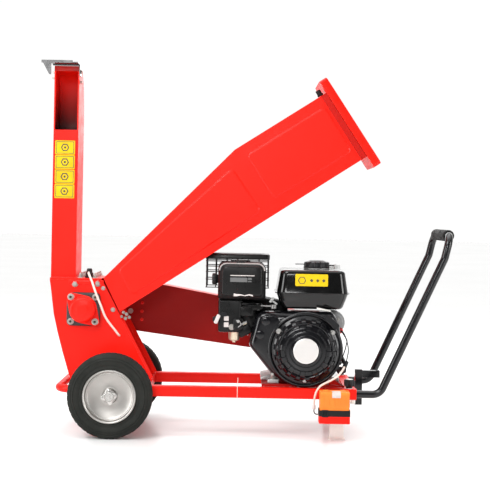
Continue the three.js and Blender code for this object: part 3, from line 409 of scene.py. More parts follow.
def basis(towards):
    z = Vector(towards).normalized()
    x = Vector((1, 0, 0)) if abs(z.z) > 0.9 else Vector((0, 0, 1)).cross(z).normalized()
    return Matrix((x, z.cross(x), z)).transposed().to_4x4()


def round_points(radii, height=0.0):
    """One point for each radius, at even angles round Z."""
    turn = 2 * math.pi / len(radii)
    return [(r * math.cos(turn * k), r * math.sin(turn * k), height) for k, r in enumerate(radii)]


def circle(radius, steps=32, height=0.0):
    return round_points([radius] * steps, height)


def lobed(radius, lobe, lobes, steps, height, scale=1.0):
    """Points round a circle whose radius swells once for each lobe."""
    turn = 2 * math.pi / steps
    return round_points([(radius + lobe * math.cos(lobes * turn * k)) * scale for k in range(steps)], height)


def rounded_box(half_x, half_y, corner, height=0.0, per_corner=7, foot=None):
    """Points round a rounded rectangle, counter-clockwise; foot is the lower corners' own radius."""
    points = []
    limit = min(half_x, half_y) - HAIR
    for quarter in range(4):
        radius = min(limit, corner if foot is None or quarter < 2 else foot)
        cx = (half_x - radius) * (1 if quarter in (0, 3) else -1)
        cy = (half_y - radius) * (1 if quarter < 2 else -1)
        for k in range(per_corner):
            angle = math.pi / 2 * (quarter + k / (per_corner - 1))
            points.append((cx + radius * math.cos(angle), cy + radius * math.sin(angle), height))
    return points


def corner_arc(before, corner, after, radius, steps):
    """Points along the arc that rounds one corner of a path."""
    a, b = (before - corner).normalized(), (after - corner).normalized()
    half = a.angle(b) / 2
    reach = radius / math.tan(half)
    centre = corner + (a + b).normalized() * (radius / math.sin(half))
    start, end = corner + a * reach - centre, corner + b * reach - centre
    return [centre + start.slerp(end, k / steps).normalized() * radius for k in range(steps + 1)]


def arc_points(points, radius, steps=8):
    """A polyline with each inner corner replaced by an arc of the given radius."""
    points = [Vector(p) for p in points]
    path = [points[0]]
    for before, corner, after in zip(points, points[1:], points[2:]):
        path += corner_arc(before, corner, after, radius, steps)
    return path + [points[-1]]


def thread(outer, root, start, rise, count):
    """The zigzag side of a threaded bar, as (radius, height) points."""
    return [(outer if k % 2 else root, start + k * rise) for k in range(count)]


def soften(piece, width, segments, angle):
    """Rounds the edges that turn by more than the angle, in degrees."""
    soft = piece.modifiers.new("soft_edges", "BEVEL")
    soft.width = width * MM
    soft.segments = segments
    soft.limit_method = "ANGLE"
    soft.angle_limit = math.radians(angle)
    normals = piece.modifiers.new("even_normals", "WEIGHTED_NORMAL")
    normals.keep_sharp = True


class Shape:
    """Mesh parts in millimetres, gathered into one piece."""

    def __init__(self, origin=(0, 0, 0), towards=UP, turn=0.0):
        self.bm = bmesh.new()
        self.aim(origin, towards, turn)

    def aim(self, origin, towards=UP, turn=0.0):
        """What follows is drawn at the origin, with local Z in the given direction."""
        spin = Matrix.Rotation(turn, 4, "Z")
        self.matrix = Matrix.Translation(Vector(origin) * MM) @ basis(towards) @ spin @ Matrix.Scale(MM, 4)
        return self

    def ring(self, points):
        return [self.bm.verts.new(self.matrix @ Vector(p)) for p in points]

    def bridge(self, first, second):
        """Faces between two rings; a ring of one point closes to a cone, and rings of two make one face."""
        count = max(len(first), len(second))
        for k in range(count if count > 2 else 1):
            n = (k + 1) % count
            corners = []
            for loop, index in ((first, k), (first, n), (second, n), (second, k)):
                vert = loop[index % len(loop)]
                if vert not in corners:
                    corners.append(vert)
            if len(corners) > 2:
                self.bm.faces.new(corners)

    def loft(self, rings, caps=(True, True), wrap=False):
        """A skin over rings of points; wrap joins the last ring to the first instead of capping them."""
        loops = [self.ring(points) for points in rings]
        for a, b in zip(loops, loops[1:]):
            self.bridge(a, b)
        if wrap:
            self.bridge(loops[-1], loops[0])
            return self
        for loop, wanted in zip((loops[0], loops[-1]), caps):
            if wanted and len(loop) > 2:
                self.bm.faces.new(loop)
        return self

    def lathe(self, profile, steps=48, wrap=False, shape=None):
        """Turns (radius, height) points about local Z; shape(angle index, r, h) may move a point."""
        rings = []
        for r, h in profile:
            if r < HAIR:
                rings.append([(0, 0, h)])
                continue
            points = []
            for k in range(steps):
                rr, hh = shape(k, r, h) if shape else (r, h)
                angle = 2 * math.pi * k / steps
                points.append((rr * math.cos(angle), rr * math.sin(angle), hh))
            rings.append(points)
        return self.loft(rings, wrap=wrap)

    def prism(self, outline, bottom, top):
        return self.loft([[(p[0], p[1], bottom) for p in outline], [(p[0], p[1], top) for p in outline]])

    def hexagon(self, levels, **options):
        """A six-sided bar; each level is (radius, height)."""
        return self.loft([circle(r, 6, h) for r, h in levels], **options)

    def stack(self, half_x, half_y, levels, **options):
        """Rounded boxes one above another; each level is (growth, height, corner)."""
        return self.loft([rounded_box(half_x + d, half_y + d, corner, h) for d, h, corner in levels],
                         **options)

    def block(self, half_x, half_y, bottom, top, corner=2.0, edge=1.0):
        """A rounded block with softened top edges."""
        return self.stack(half_x, half_y, [(0, bottom, corner), (0, top - edge, corner),
                                           (-0.3 * edge, top - 0.3 * edge, corner),
                                           (-edge, top, max(corner - edge, 0.3))])

    def sweep(self, points, radius=0.0, steps=14, section=None, closed=False):
        """A round or shaped bar along a path; the section is turned without twisting."""
        points = [Vector(p) for p in points]
        count = len(points)
        section = section or circle(radius, steps)
        tangents = []
        for k in range(count):
            before = points[k - 1] if k or closed else points[0]
            after = points[(k + 1) % count] if k < count - 1 or closed else points[-1]
            tangents.append((after - before).normalized())
        side = tangents[0].orthogonal().normalized()
        if abs(tangents[0].z) < 0.9:
            side = Vector((0, 0, 1)).cross(tangents[0]).normalized()
        rings = []
        for k in range(count):
            if k:
                side = tangents[k - 1].rotation_difference(tangents[k]) @ side
            other = tangents[k].cross(side)
            rings.append([points[k] + side * p[0] + other * p[1] for p in section])
        return self.loft(rings, wrap=closed)

    def bolt(self, origin, towards, across=10.0, washer=0.0, tall=0.62, turn=0.2):
        """A chamfered hexagon head on a washer."""
        self.aim(origin, towards, turn)
        base = 0.0
        if washer:
            base = 1.6
            self.lathe([(0, 0), (washer, 0), (washer, base - 0.4), (washer - 0.4, base), (0, base)], 28)
        corner = across / math.sqrt(3)
        top = base + across * tall
        self.hexagon([(corner, base - 0.2), (corner, top - across * 0.09), (corner * 0.88, top),
                      (corner * 0.62, top + 0.05)])
        return self

    def stud(self, origin, towards, across=10.0, washer=0.0, reach=6.0):
        """A nut on a threaded end that stands proud of it."""
        self.bolt(origin, towards, across, washer, 0.75)
        start = across * 0.75
        pitch = 0.9
        threads = thread(across * 0.30, across * 0.275, start, pitch / 2, int(reach / pitch * 2))
        self.lathe([(0, start - 1)] + threads + [(across * 0.22, start + reach), (0, start + reach)], 16)
        return self

    def stands_for(self, node, name, look, angle=38, **options):
        """Ends the shape as the piece that replaces one CAD node."""
        piece = self.done(name, look, BODY_OF[node], angle, **options)
        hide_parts(node)
        return piece

    def done(self, name, look, body, angle=38, bevel=0.0, segments=2, solid=0.0):
        """Ends the shape as a piece; edges over the angle stay sharp, and solid is a sheet's thickness."""
        bmesh.ops.recalc_face_normals(self.bm, faces=self.bm.faces)
        mesh = bpy.data.meshes.new(name)
        self.bm.to_mesh(mesh)
        self.bm.free()
        mesh.shade_smooth()
        mesh.set_sharp_from_angle(angle=math.radians(angle))
        piece = bpy.data.objects.new(name, mesh)
        bpy.context.scene.collection.objects.link(piece)
        mesh.materials.append(LOOKS[look])
        if solid:
            thick = piece.modifiers.new("sheet", "SOLIDIFY")
            thick.thickness = solid * MM
            thick.offset = -1
        if bevel:
            soften(piece, bevel, segments, 28)
        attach(piece, body)
        return piece


# ------------------------------------------------------------------ wheels
LUGS = 44
LUG_STEPS = 5
SHOULDER = 9.0, 22.0
SHOULDER_RADIUS = 112
GROOVE_DEPTH = 1.1
# radius and distance in from the tyre's side face
TYRE_WALL = ((71.0, 9), (72.3, 4.5), (75, 2.6), (80, 2.0), (82.6, 3.4), (84.8, 3.5), (86.8, 1.8),
             (92, 0.6), (98, 0), (98.8, 1.1), (99.8, 1.1), (100.6, 0), (105, 0.7), (106, 1.9), (107, 1.1),
             (111, 3.4), (114.6, 6.2), (117, 9.5))
# depth under the tread's surface and distance from the tyre's middle plane
TYRE_TREAD = ((0, 10.5), (0, 9.2), (3.4, 8.7), (3.4, 6.1), (0, 5.6), (0, 1.9), (3.4, 1.5))
# radius and distance in from the tyre's side faces
FRONT_FLANGE = ((70.6, 8), (73.2, 4.2), (74.4, 1.4), (73.4, -0.6), (71.0, -1.0), (68.8, 0.6), (67.6, 5))
BACK_FLANGE = ((67.2, 4), (68.4, 0.6), (71.0, 0.4), (73.6, 0.9), (74.2, 2), (73.2, 4.2), (70.6, 8))
# radius and height over the tyre's middle plane, from the disc's face round the hub to its back
DISC_PROFILE = [(67.2, 18.5), (66.2, 16.6), (64.2, 15.6), (62.6, 15.9), (61.2, 15.0), (57, 13.2),
                (50, 10.8), (42, 8.8), (32, 7.2), (25, 6.6), (21.6, 7.4), (20, 10.5), (19.4, 21.5),
                (18.2, 23.2), (10.6, 23.2), (10.4, 22.4), (10.4, -22.4), (10.6, -23.2), (18.2, -23.2),
                (19.2, -21.5), (20, -2), (23, 3.6), (32, 4.4), (42, 6.0), (50, 8.2), (57, 10.4),
                (61.6, 12.4), (63.8, 11.6), (64.6, 6), (65, -13)]
PETALS = 4
HUB_STEPS = 64
HUB_PETALS = ((0, 1.0), (1.2, 1.0), (2.0, 0.93))
HUB_PROFILE = ((13.4, 2.2), (12.8, 4.4), (11.6, 5.4), (9.6, 5.4), (9.2, 4.0), (5.6, 4.0), (5.0, 5.2),
               (3.4, 5.8))


def tyre_point(k, r, h):
    """Cross grooves cut the shoulders of the tread into lugs."""
    shoulder = SHOULDER[0] < abs(h) < SHOULDER[1] and r > SHOULDER_RADIUS
    return (r - GROOVE_DEPTH, h) if shoulder and k % LUG_STEPS == 0 else (r, h)


def add_tyre(side, outward):
    node = f"{side}_tyre"
    outer, half = half_size(node).x, half_size(node).y
    wall = [(r, half - d) for r, d in TYRE_WALL] + [(outer - 0.2, half - 13)]
    wall += [(outer - d, h) for d, h in TYRE_TREAD]
    profile = wall + [(r, -h) for r, h in reversed(wall)]
    shape = Shape(middle(node), outward).lathe(profile, LUGS * LUG_STEPS, wrap=True, shape=tyre_point)
    shape.stands_for(node, f"{side}_tyre_moulding", "tyre_rubber", 50)


def add_disc(side, outward):
    centre, half = middle(f"{side}_tyre"), half_size(f"{side}_tyre").y
    front = [(r, half - d) for r, d in FRONT_FLANGE]
    back = [(r, d - half) for r, d in BACK_FLANGE]
    shape = Shape(centre, outward).lathe(front + DISC_PROFILE + back, 96, wrap=True)
    shape.stands_for(f"{side}_wheel_disc", f"{side}_wheel_pressing", "wheel_steel", 34)
    lock = Shape(centre + Vector(outward) * (half - 2.8), outward, 0.18)
    lock.loft([lobed(18.6, 4.0, PETALS, HUB_STEPS, h, scale) for h, scale in HUB_PETALS]
              + [circle(r, HUB_STEPS, h) for r, h in HUB_PROFILE])
    lock.done(f"{side}_hub_lock_plate", "bright_steel", BODY_OF["axle"])


for side, sign in SIDES:
    add_tyre(side, (0, sign, 0))
    add_disc(side, (0, sign, 0))


# ------------------------------------------------------------------ chassis tubes
RAIL_CORNER = 3.2
RAIL_WALL = 2.0


def add_rail(side):
    node = f"{side}_rail"
    half, length = half_size(node).z, 2 * half_size(node).x
    outer, inner = (0, RAIL_CORNER), (-RAIL_WALL, RAIL_CORNER - RAIL_WALL)
    levels = [(grow, h, corner) for (grow, corner), h in
              ((outer, 0.4), (outer, length - 0.4), (inner, length), (inner, 0))]
    tube = Shape(at(node, 0, 0.5, 0.5), RIGHT).stack(half, half, levels, wrap=True)
    tube.stands_for(node, f"{side}_rail_tube", "red_paint", 40)


TUBE_RADIUS = 11.0
TUBE_STEPS = 28
BUMPER_BEND = 45.0
HANDLE_BEND = 32.0
HANDLE_FOOT = 66.0
KNEE_BACK, KNEE_DROP = 26.5, 74.0
RAIL_MID = {side: middle(f"{side}_rail").y for side, sign in SIDES}


def add_bumper():
    node = "bumper_loop"
    z = middle(node).z
    front, back = low(node).x + TUBE_RADIUS, high(node).x
    places = ("near", back), ("near", front), ("far", front), ("far", back)
    path = arc_points([(x, RAIL_MID[side], z) for side, x in places], BUMPER_BEND, 12)
    tube = Shape().sweep(path, TUBE_RADIUS, TUBE_STEPS)
    tube.stands_for(node, "bumper_tube", "red_paint")


def add_handle():
    node = "handle_tube"
    first, last = low(node), high(node)
    foot_z = middle("near_rail").z
    side_path = [(first.x, foot_z), (high("near_rail").x + HANDLE_FOOT, foot_z),
                 (last.x - KNEE_BACK, last.z - KNEE_DROP), (last.x - TUBE_RADIUS - 0.5, last.z - TUBE_RADIUS)]
    path = [(x, RAIL_MID["near"], z) for x, z in side_path]
    path += [(x, RAIL_MID["far"], z) for x, z in reversed(side_path)]
    bar = Shape().sweep(arc_points(path, HANDLE_BEND, 10), TUBE_RADIUS, TUBE_STEPS)
    bar.stands_for(node, "handle_bar", "black_paint")


RIB_PITCH = 4.0


def add_grip():
    node = "handle_grip"
    radius, half = half_size(node).x, half_size(node).y
    bore, groove = TUBE_RADIUS + 0.6, radius - 0.7
    end = [(bore, half), (radius - 3, half), (radius - 0.8, half - 1.2), (radius, half - 3.5)]
    profile = [(r, -h) for r, h in end]
    for k in range(int((2 * half - 10) / RIB_PITCH)):
        y = -half + 5 + k * RIB_PITCH
        profile += [(radius, y), (radius, y + 2.6), (groove, y + 3.0), (groove, y + 3.6)]
    profile += reversed(end)
    foam = Shape(middle(node), NEAR).lathe(profile, 40, wrap=True)
    foam.stands_for(node, "grip_foam", "black_rubber")


KNOB_LOBES = 5
KNOB_LOBE = 3.1
KNOB_HEAD = 20.0
# height under the knob's top and share of its full width
KNOB_LEVELS = ((KNOB_HEAD, 0.80), (18, 0.94), (15, 1.0), (6, 1.0), (2.4, 0.95), (0.6, 0.82), (0, 0.6))
STUD_BESIDE_NUT = 11.5


def add_star_knob(side):
    node = f"{side}_star_knob"
    axis = AXIS_OF[f"{side}_knob_turn"]
    centre = Vector((axis.x, axis.y, low(node).z))
    tall = high(node).z - low(node).z
    reach = high(node).x - centre.x - 0.5
    body = reach - KNOB_LOBE
    knob = Shape(centre)
    knob.loft([lobed(body, KNOB_LOBE, KNOB_LOBES, 90, tall - drop, scale) for drop, scale in KNOB_LEVELS])
    collar = tall - KNOB_HEAD
    knob.lathe([(0, collar - 5), (9, collar - 5), (9.5, collar), (0, collar + 1)], 32)
    knob.stands_for(node, f"{side}_knob_head", "black_plastic", 40)
    bolt = Shape(centre)
    threads = thread(4.0, 3.55, 0.6, 0.75, 26)
    bolt.lathe([(0, 0), (3.2, 0)] + threads + [(4.0, 22), (4.0, collar - 3), (0, collar - 3)], 20)
    bolt.aim((centre.x, centre.y, high(node).z - 0.4))
    bolt.lathe([(0, 0), (10.5, 0), (10.9, 0.7), (10.2, 1.3), (0, 1.5)], 36)
    bolt.done(f"{side}_knob_bolt", "bright_steel", BODY_OF[node])
    rail = f"{side}_rail"
    washer = Shape(at(rail, 1, 0.5, 1, centre.x - high(rail).x))
    washer.lathe([(4.4, 0.1), (9.8, 0.1), (9.8, 1.4), (9.4, 1.7), (4.4, 1.7)], 32, wrap=True)
    washer.aim((centre.x, centre.y, low(rail).z - 0.1), DOWN)
    washer.lathe([(4.4, 0.0), (9.8, 0.0), (9.8, 1.4), (9.4, 1.7), (4.4, 1.7)], 32, wrap=True)
    washer.hexagon([(9.2, 1.8), (9.2, 9.2), (8.2, 10.2), (5.0, 10.3), (5.0, 1.8)], wrap=True)
    washer.aim((centre.x + STUD_BESIDE_NUT, centre.y, low(rail).z), DOWN)
    washer.hexagon([(6.6, -0.4), (6.6, 11), (5.8, 12), (3.0, 12.1)])
    washer.done(f"{side}_knob_washers", "zinc_plate", BODY_OF["handle_tube"])


for side, sign in SIDES:
    add_rail(side)
add_bumper()
add_handle()
add_grip()
for side, sign in SIDES:
    add_star_knob(side)


# ------------------------------------------------------------------ feed hopper
HOPPER_BASE = low("hopper_body")
WALL = 2.0


def hopper_point(dx, dz):
    return Vector((HOPPER_BASE.x + dx, 0, HOPPER_BASE.z + dz))


THROAT = (hopper_point(0, 96), hopper_point(48, 0))
BEND = (hopper_point(370, 471), hopper_point(480, 283))
MOUTH = (hopper_point(628, 638), hopper_point(748, 458))
THROAT_HALF = 80.0
MOUTH_HALF = high("hopper_body").y
FLARE = 17.0
FLARE_OUT = 11.0
PRESS_DEPTH = 3.2
PRESS_EDGE = 3.4
JOIN_DISTANCE = 0.00002


def inset_quad(corners, margin):
    """Moves each side of a quad inwards; corners run around the quad in the XZ plane."""
    lines = []
    centre = sum(corners, Vector()) / len(corners)
    for a, b in zip(corners, corners[1:] + corners[:1]):
        along = (b - a).normalized()
        inward = Vector((-along.z, 0, along.x))
        if inward.dot(centre - a) < 0:
            inward = -inward
        lines.append((a + inward * margin, along))
    moved = []
    for (p, u), (q, v) in zip(lines[-1:] + lines[:-1], lines):
        t = ((q.x - p.x) * v.z - (q.z - p.z) * v.x) / (u.x * v.z - u.z * v.x)
        moved.append(p + u * t)
    return moved


def rounded_loop(corners, radius, steps):
    """A closed polygon with rounded corners, the same number of points at each corner."""
    loop = []
    for before, corner, after in zip(corners[-1:] + corners[:-1], corners, corners[1:] + corners[:1]):
        loop += corner_arc(before, corner, after, radius, steps - 1)
    return loop


def side_y(point, sign):
    """The outer skin's half width at a point: it widens from the throat to the bend."""
    start, end = (THROAT[0] + THROAT[1]) / 2, (BEND[0] + BEND[1]) / 2
    along = (end - start).normalized()
    share = min(1.0, max(0.0, (point - start).dot(along) / (end - start).length))
    return sign * (THROAT_HALF + (MOUTH_HALF - THROAT_HALF) * share)


def lay(points, sign, lift=0.0):
    return [(p.x, side_y(p, sign) + sign * lift, p.z) for p in points]


def pressed_side(shape, sign, corners, panel):
    """One wall segment with a rounded panel pressed into it."""
    steps = 5
    outer = [shape.ring([p])[0] for p in lay(corners, sign)]
    first = shape.ring(lay(rounded_loop(inset_quad(panel, -1.6), 15, steps), sign))
    count = len(first)
    for k in range(count):
        n = (k + 1) % count
        a, b = outer[k // steps], outer[(n // steps) % len(outer)]
        shape.bm.faces.new([a, first[k], first[n]] if a is b else [a, first[k], first[n], b])
    last = first
    folds = (0, 14, 0.4), (PRESS_EDGE, 11, PRESS_DEPTH - 0.4), (PRESS_EDGE + 1.6, 10, PRESS_DEPTH)
    for inward, radius, lift in folds:
        ring = shape.ring(lay(rounded_loop(inset_quad(panel, inward), radius, steps), sign, lift))
        shape.bridge(last, ring)
        last = ring
    shape.bm.faces.new(last)


LOWER_PANEL = [hopper_point(*p) for p in ((42, 120), (363, 419), (450, 297), (83, 46))]
UPPER_PANEL = [hopper_point(*p) for p in ((404, 456), (625, 599), (706, 472), (484, 332))]


def add_hopper():
    shape = Shape()
    mouth_along = (MOUTH[0] - BEND[0]).normalized()
    flare = [p - mouth_along * FLARE for p in MOUTH]
    for sign in (-1, 1):
        pressed_side(shape, sign, [THROAT[0], BEND[0], BEND[1], THROAT[1]], LOWER_PANEL)
        pressed_side(shape, sign, [BEND[0], flare[0], flare[1], BEND[1]], UPPER_PANEL)
    stations = [THROAT, BEND, flare]
    for index in (0, 1):
        rows = [[(s[index].x, side_y(s[index], sign), s[index].z) for sign in (-1, 1)] for s in stations]
        mouth = MOUTH[index]
        rows.append([(mouth.x, sign * (MOUTH_HALF + FLARE_OUT), mouth.z) for sign in (-1, 1)])
        loops = [shape.ring(row) for row in rows]
        for a, b in zip(loops, loops[1:]):
            shape.bm.faces.new([a[0], a[1], b[1], b[0]])
    bmesh.ops.remove_doubles(shape.bm, verts=shape.bm.verts, dist=JOIN_DISTANCE)
    for side, sign in SIDES:
        outer = [(p.x, sign * (MOUTH_HALF + FLARE_OUT), p.z) for p in MOUTH]
        lip = Shape().loft([lay(flare, sign), outer], caps=(False, False))
        lip.done(f"hopper_{side}_flare", "shadow_red", BODY_OF["hopper_body"], bevel=0.5, solid=WALL)
    shape.stands_for("hopper_body", "hopper_pressing", "red_paint", 50, bevel=1.4, segments=3, solid=WALL)


# inset from the rim's outline, height over the mouth's plane and corner
RIM_FOLD = ((2.2, 0.6, 8), (0, 0, 10), (0, 21, 10), (1, 23, 9), (3, 24, 8), (9, 24, 6), (11, 23, 5),
            (12, 20, 4), (12.2, 3, 4))
# growth over the mouth's size and height over its plane
MOUTH_FOLD = ((0, 1.5), (-0.2, -10), (1.8, -10), (2.0, 0))
RIM_HALF_Z = 145.5


def add_rim():
    """A frame round the mouth: its edge is folded outwards, and a short neck goes back into the body."""
    slope = (MOUTH[0] - MOUTH[1]).normalized()
    turn = Matrix((Vector((0, 1, 0)), slope, Vector((slope.z, 0, -slope.x)))).transposed().to_4x4()
    shape = Shape()
    shape.matrix = Matrix.Translation((MOUTH[0] + MOUTH[1]) / 2 * MM) @ turn @ Matrix.Scale(MM, 4)
    half_y = high("hopper_rim").y
    mouth_y, mouth_z = MOUTH_HALF - 1, (MOUTH[0] - MOUTH[1]).length / 2 - 2
    rings = [rounded_box(half_y - i, RIM_HALF_Z - i, corner, h) for i, h, corner in RIM_FOLD]
    rings += [rounded_box(mouth_y + d, mouth_z + d, 4, h) for d, h in MOUTH_FOLD]
    rings.append(rounded_box(half_y - 11, RIM_HALF_Z - 11, 4, 0.8))
    shape.loft(rings, wrap=True)
    shape.stands_for("hopper_rim", "hopper_rim_fold", "red_paint", 40)


add_hopper()
add_rim()


# ------------------------------------------------------------------ chute, housing and bearing
CHUTE_NEAR = -CHUTE_HALF / MM
CHUTE_LEFT = low("chute").x
CHUTE_RIGHT = CHUTE_LEFT + CHUTE_WIDTH / MM
PLATE_NEAR = low("housing_near_plate").y
PLATE_FAR = high("housing_far_plate").y
THICK_LABEL = 0.35


def sticker(name, look, origin, towards, width, height, corner):
    levels = [(0, -0.2, corner), (0, THICK_LABEL, corner), (-0.3, THICK_LABEL + 0.05, corner)]
    return Shape(origin, towards).stack(width / 2, height / 2, levels).done(name, look, "frame")


LABEL_CELLS = 4
LABEL_PITCH = 42.0
LABEL_GAP = 1.6
LABEL_RISE = 231.5
LABEL_MARGINS = 6.0, 63.0
BORDER = 1.4


def add_chute_label():
    """Plain yellow cells, each with a border, a hexagon and a dot."""
    bottom = low("chute").z + LABEL_RISE
    left, right = (CHUTE_LEFT + margin for margin in LABEL_MARGINS)
    half_x, half_z = (right - left) / 2, (LABEL_PITCH - LABEL_GAP) / 2
    label = Shape()
    marks = Shape()
    for k in range(LABEL_CELLS):
        centre = ((left + right) / 2, CHUTE_NEAR, bottom + LABEL_PITCH * (k + 0.5))
        label.aim(centre, NEAR).stack(half_x, half_z, [(0, -0.2, 2.5), (0, 0.5, 2.5), (-0.3, 0.6, 2.3)])
        marks.aim(centre, NEAR)
        border = [(0, 0.5, 1.8), (0, 0.95, 1.8), (-BORDER, 0.95, 1.0), (-BORDER, 0.5, 1.0)]
        marks.stack(half_x - 3, half_z - 3, border, wrap=True)
        marks.hexagon([(12, 0.5), (12, 0.95), (8.6, 0.95), (8.6, 0.5)], wrap=True)
        marks.lathe([(0, 0.5), (3.2, 0.5), (3.2, 0.95), (0, 0.95)], 20)
    label.done("chute_label", "label_yellow", "frame")
    marks.done("chute_label_marks", "label_ink", "frame")


def add_chute_details():
    base = low("chute").z
    seams = Shape()
    seams.aim((CHUTE_LEFT + 36, CHUTE_NEAR, base + 3), NEAR).block(35.8, 3.2, -0.2, 1.6, 1.5, 0.6)
    seams.aim((CHUTE_RIGHT, 0, base + 3), RIGHT).block(59, 3.2, -0.2, 1.6, 1.5, 0.6)
    seams.done("chute_seams", "red_paint", "frame")

    top = high("chute").z
    bolts = Shape()
    bolts.bolt((CHUTE_RIGHT - 0.1, -40, top - 44), RIGHT, 8, 6)
    bolts.bolt((CHUTE_LEFT + 0.1, -46, top - 17), LEFT, 8, 6)
    bolts.stud((CHUTE_LEFT + 0.1, -46, top - 34), LEFT, 7, 5, 4)
    for y in (-68, -24, 24, 68):
        for dx in (14, 56):
            bolts.stud((CHUTE_RIGHT + dx, y, base + 4), UP, 10, 8.5, 7)
    bolts.done("chute_fasteners", "bolt_steel", "frame")


def add_flap_details():
    corner = at("deflector_flap", 0, 0, 1)
    rivets = Shape()
    for share in (0.2, 0.8):
        rivets.aim((corner.x + 10 + share * 70, -84, corner.z - 4), UP)
        rivets.lathe([(0, 0), (4.2, 0), (4.0, 1.2), (2.6, 2.2), (0, 2.6)], 20)
    rivets.done("flap_rivets", "black_paint", BODY_OF["deflector_flap"])


# places are offsets from the near plate's upper left corner
PLATE_BOLTS = (73, -12, 13, 9.4), (138, -10, 13, 9.4), (154, -24, 8, 6.2), (183, -85, 8, 6.6)
CORNER_STUDS = (213, -92, 6), (222, -97, 6.5), (219, -109, 6.5), (230, -106, 6), (208, -104, 5.5)
FAR_PLATE_BOLTS = (73, -12), (138, -10), (183, -85), (219, -100)
FLANGE_LINE = (200, -94), (206, -110), (296, -281)
FLANGE_SECTION = (7.5, -1.4), (7.5, 1.4), (-7.0, 1.4), (-7.0, -1.4)


def add_housing_details():
    bolts = Shape()
    plate = at("housing_near_plate", 0, 0, 1)
    for dx, dz, across, washer in PLATE_BOLTS:
        bolts.bolt((plate.x + dx, PLATE_NEAR, plate.z + dz), NEAR, across, washer, turn=0.1 * dx)
    for dx, dz, across in CORNER_STUDS:
        bolts.stud((plate.x + dx, PLATE_NEAR + 2, plate.z + dz), NEAR, across, across * 0.75, 5)
    for dx, dz in FAR_PLATE_BOLTS:
        bolts.bolt((plate.x + dx, PLATE_FAR, plate.z + dz), FAR, 11, 8)
    bolts.done("housing_bolts", "bolt_steel", "frame")

    strip = Shape((plate.x + 105, PLATE_NEAR, plate.z - 7.5), NEAR)
    strip.block(50, 6.5, -0.2, 2.0, 2.0, 0.7)
    strip.done("housing_cover_strip", "red_paint", "frame")

    flange = Shape()
    for y in (PLATE_NEAR + 7.5, PLATE_FAR - 7.5):
        flange.sweep([(plate.x + dx, y, plate.z + dz) for dx, dz in FLANGE_LINE], section=FLANGE_SECTION)
    flange.done("housing_edge_flanges", "red_paint", "frame", bevel=0.6)


BOLT_SPAN = 35.0
BOLT_SEAT = 13.6
CASTING_FACE = 14.2
CAP_EAR = 12.5
CAP_PLATE = 3.2


def add_bearing(side, sign):
    """A square four-bolt flange unit: the casting's shoulder, boss, slinger and grease nipple."""
    node = f"{side}_bearing"
    centre = middle(node)
    face = PLATE_NEAR if sign < 0 else PLATE_FAR
    shape = Shape((centre.x, face, centre.z), (0, sign, 0))
    square = half_size(node).x
    deep = abs((low(node).y if sign < 0 else high(node).y) - face)
    shape.stack(square, square, [(0, 0, 14), (0, 10.5, 14), (-1, 12.4, 13.5), (-3.2, 13.4, 13),
                                 (-9, CASTING_FACE, 18)])
    boss = 34.0
    shape.lathe([(0, 12), (boss + 6, 13.4), (boss + 2, 15.5), (boss + 0.6, 18), (boss, 21),
                 (boss - 0.8, deep - 2), (boss - 2.4, deep - 0.4), (boss - 4, deep), (22, deep),
                 (21.5, deep - 3.4), (0, deep - 3.4)], 64)
    shape.aim((centre.x + sign * 20, face + sign * 16, centre.z + 24), (0.5, sign * 0.6, 0.62))
    shape.lathe([(0, -3), (3.6, -3), (3.6, 3), (2.2, 3.6), (2.2, 7), (2.9, 8.2), (1.6, 10.4), (0, 10.4)], 16)
    shape.stands_for(node, f"{side}_bearing_casting", "cast_iron", 40)


def socket_screw(shape, origin, towards):
    """A cap screw on a broad washer, drawn as a ring round its dark socket."""
    shape.aim(origin, towards)
    shape.lathe([(0, 0), (9.6, 0), (9.6, 1.4), (9.1, 1.8), (0, 1.8)], 36)
    shape.lathe([(0, 1.6), (6.9, 1.6), (6.9, 6.6), (6.2, 7.4), (4.2, 7.4), (3.9, 7.0), (3.9, 3.4),
                 (0, 3.4)], 36)


def add_bearing_bolts():
    screws = Shape()
    socket_shade = Shape()
    for side, sign in SIDES:
        centre = middle(f"{side}_bearing")
        face = (PLATE_NEAR if sign < 0 else PLATE_FAR) + sign * BOLT_SEAT
        for dx in (-BOLT_SPAN, BOLT_SPAN):
            for dz in (-BOLT_SPAN, BOLT_SPAN):
                under_cap = side == "near" and dx * dz < 0
                seat = face + sign * (CAP_PLATE if under_cap else 0.0)
                place = (centre.x + dx, seat, centre.z + dz)
                socket_screw(screws, place, (0, sign, 0))
                # painted shade: a near-black disc at the foot of each socket recess
                socket_shade.aim(place, (0, sign, 0)).lathe([(0, 3.3), (3.7, 3.3), (3.7, 3.9), (0, 3.9)], 32)
    screws.done("bearing_bolts", "bolt_steel", "frame")
    socket_shade.done("bearing_bolt_socket_shade", "label_ink", "frame")


def lozenge(radius, reach, ear, steps=96):
    """The outline round a disc and two ears on its falling diagonal."""
    outline = []
    centres = ((0, 0, radius), (-reach, reach, ear), (reach, -reach, ear))
    for k in range(steps):
        angle = 2 * math.pi * k / steps
        cos, sin = math.cos(angle), math.sin(angle)
        x, y, r = max(centres, key=lambda c: c[0] * cos + c[1] * sin + c[2])
        outline.append((x + r * cos, y + r * sin))
    return outline


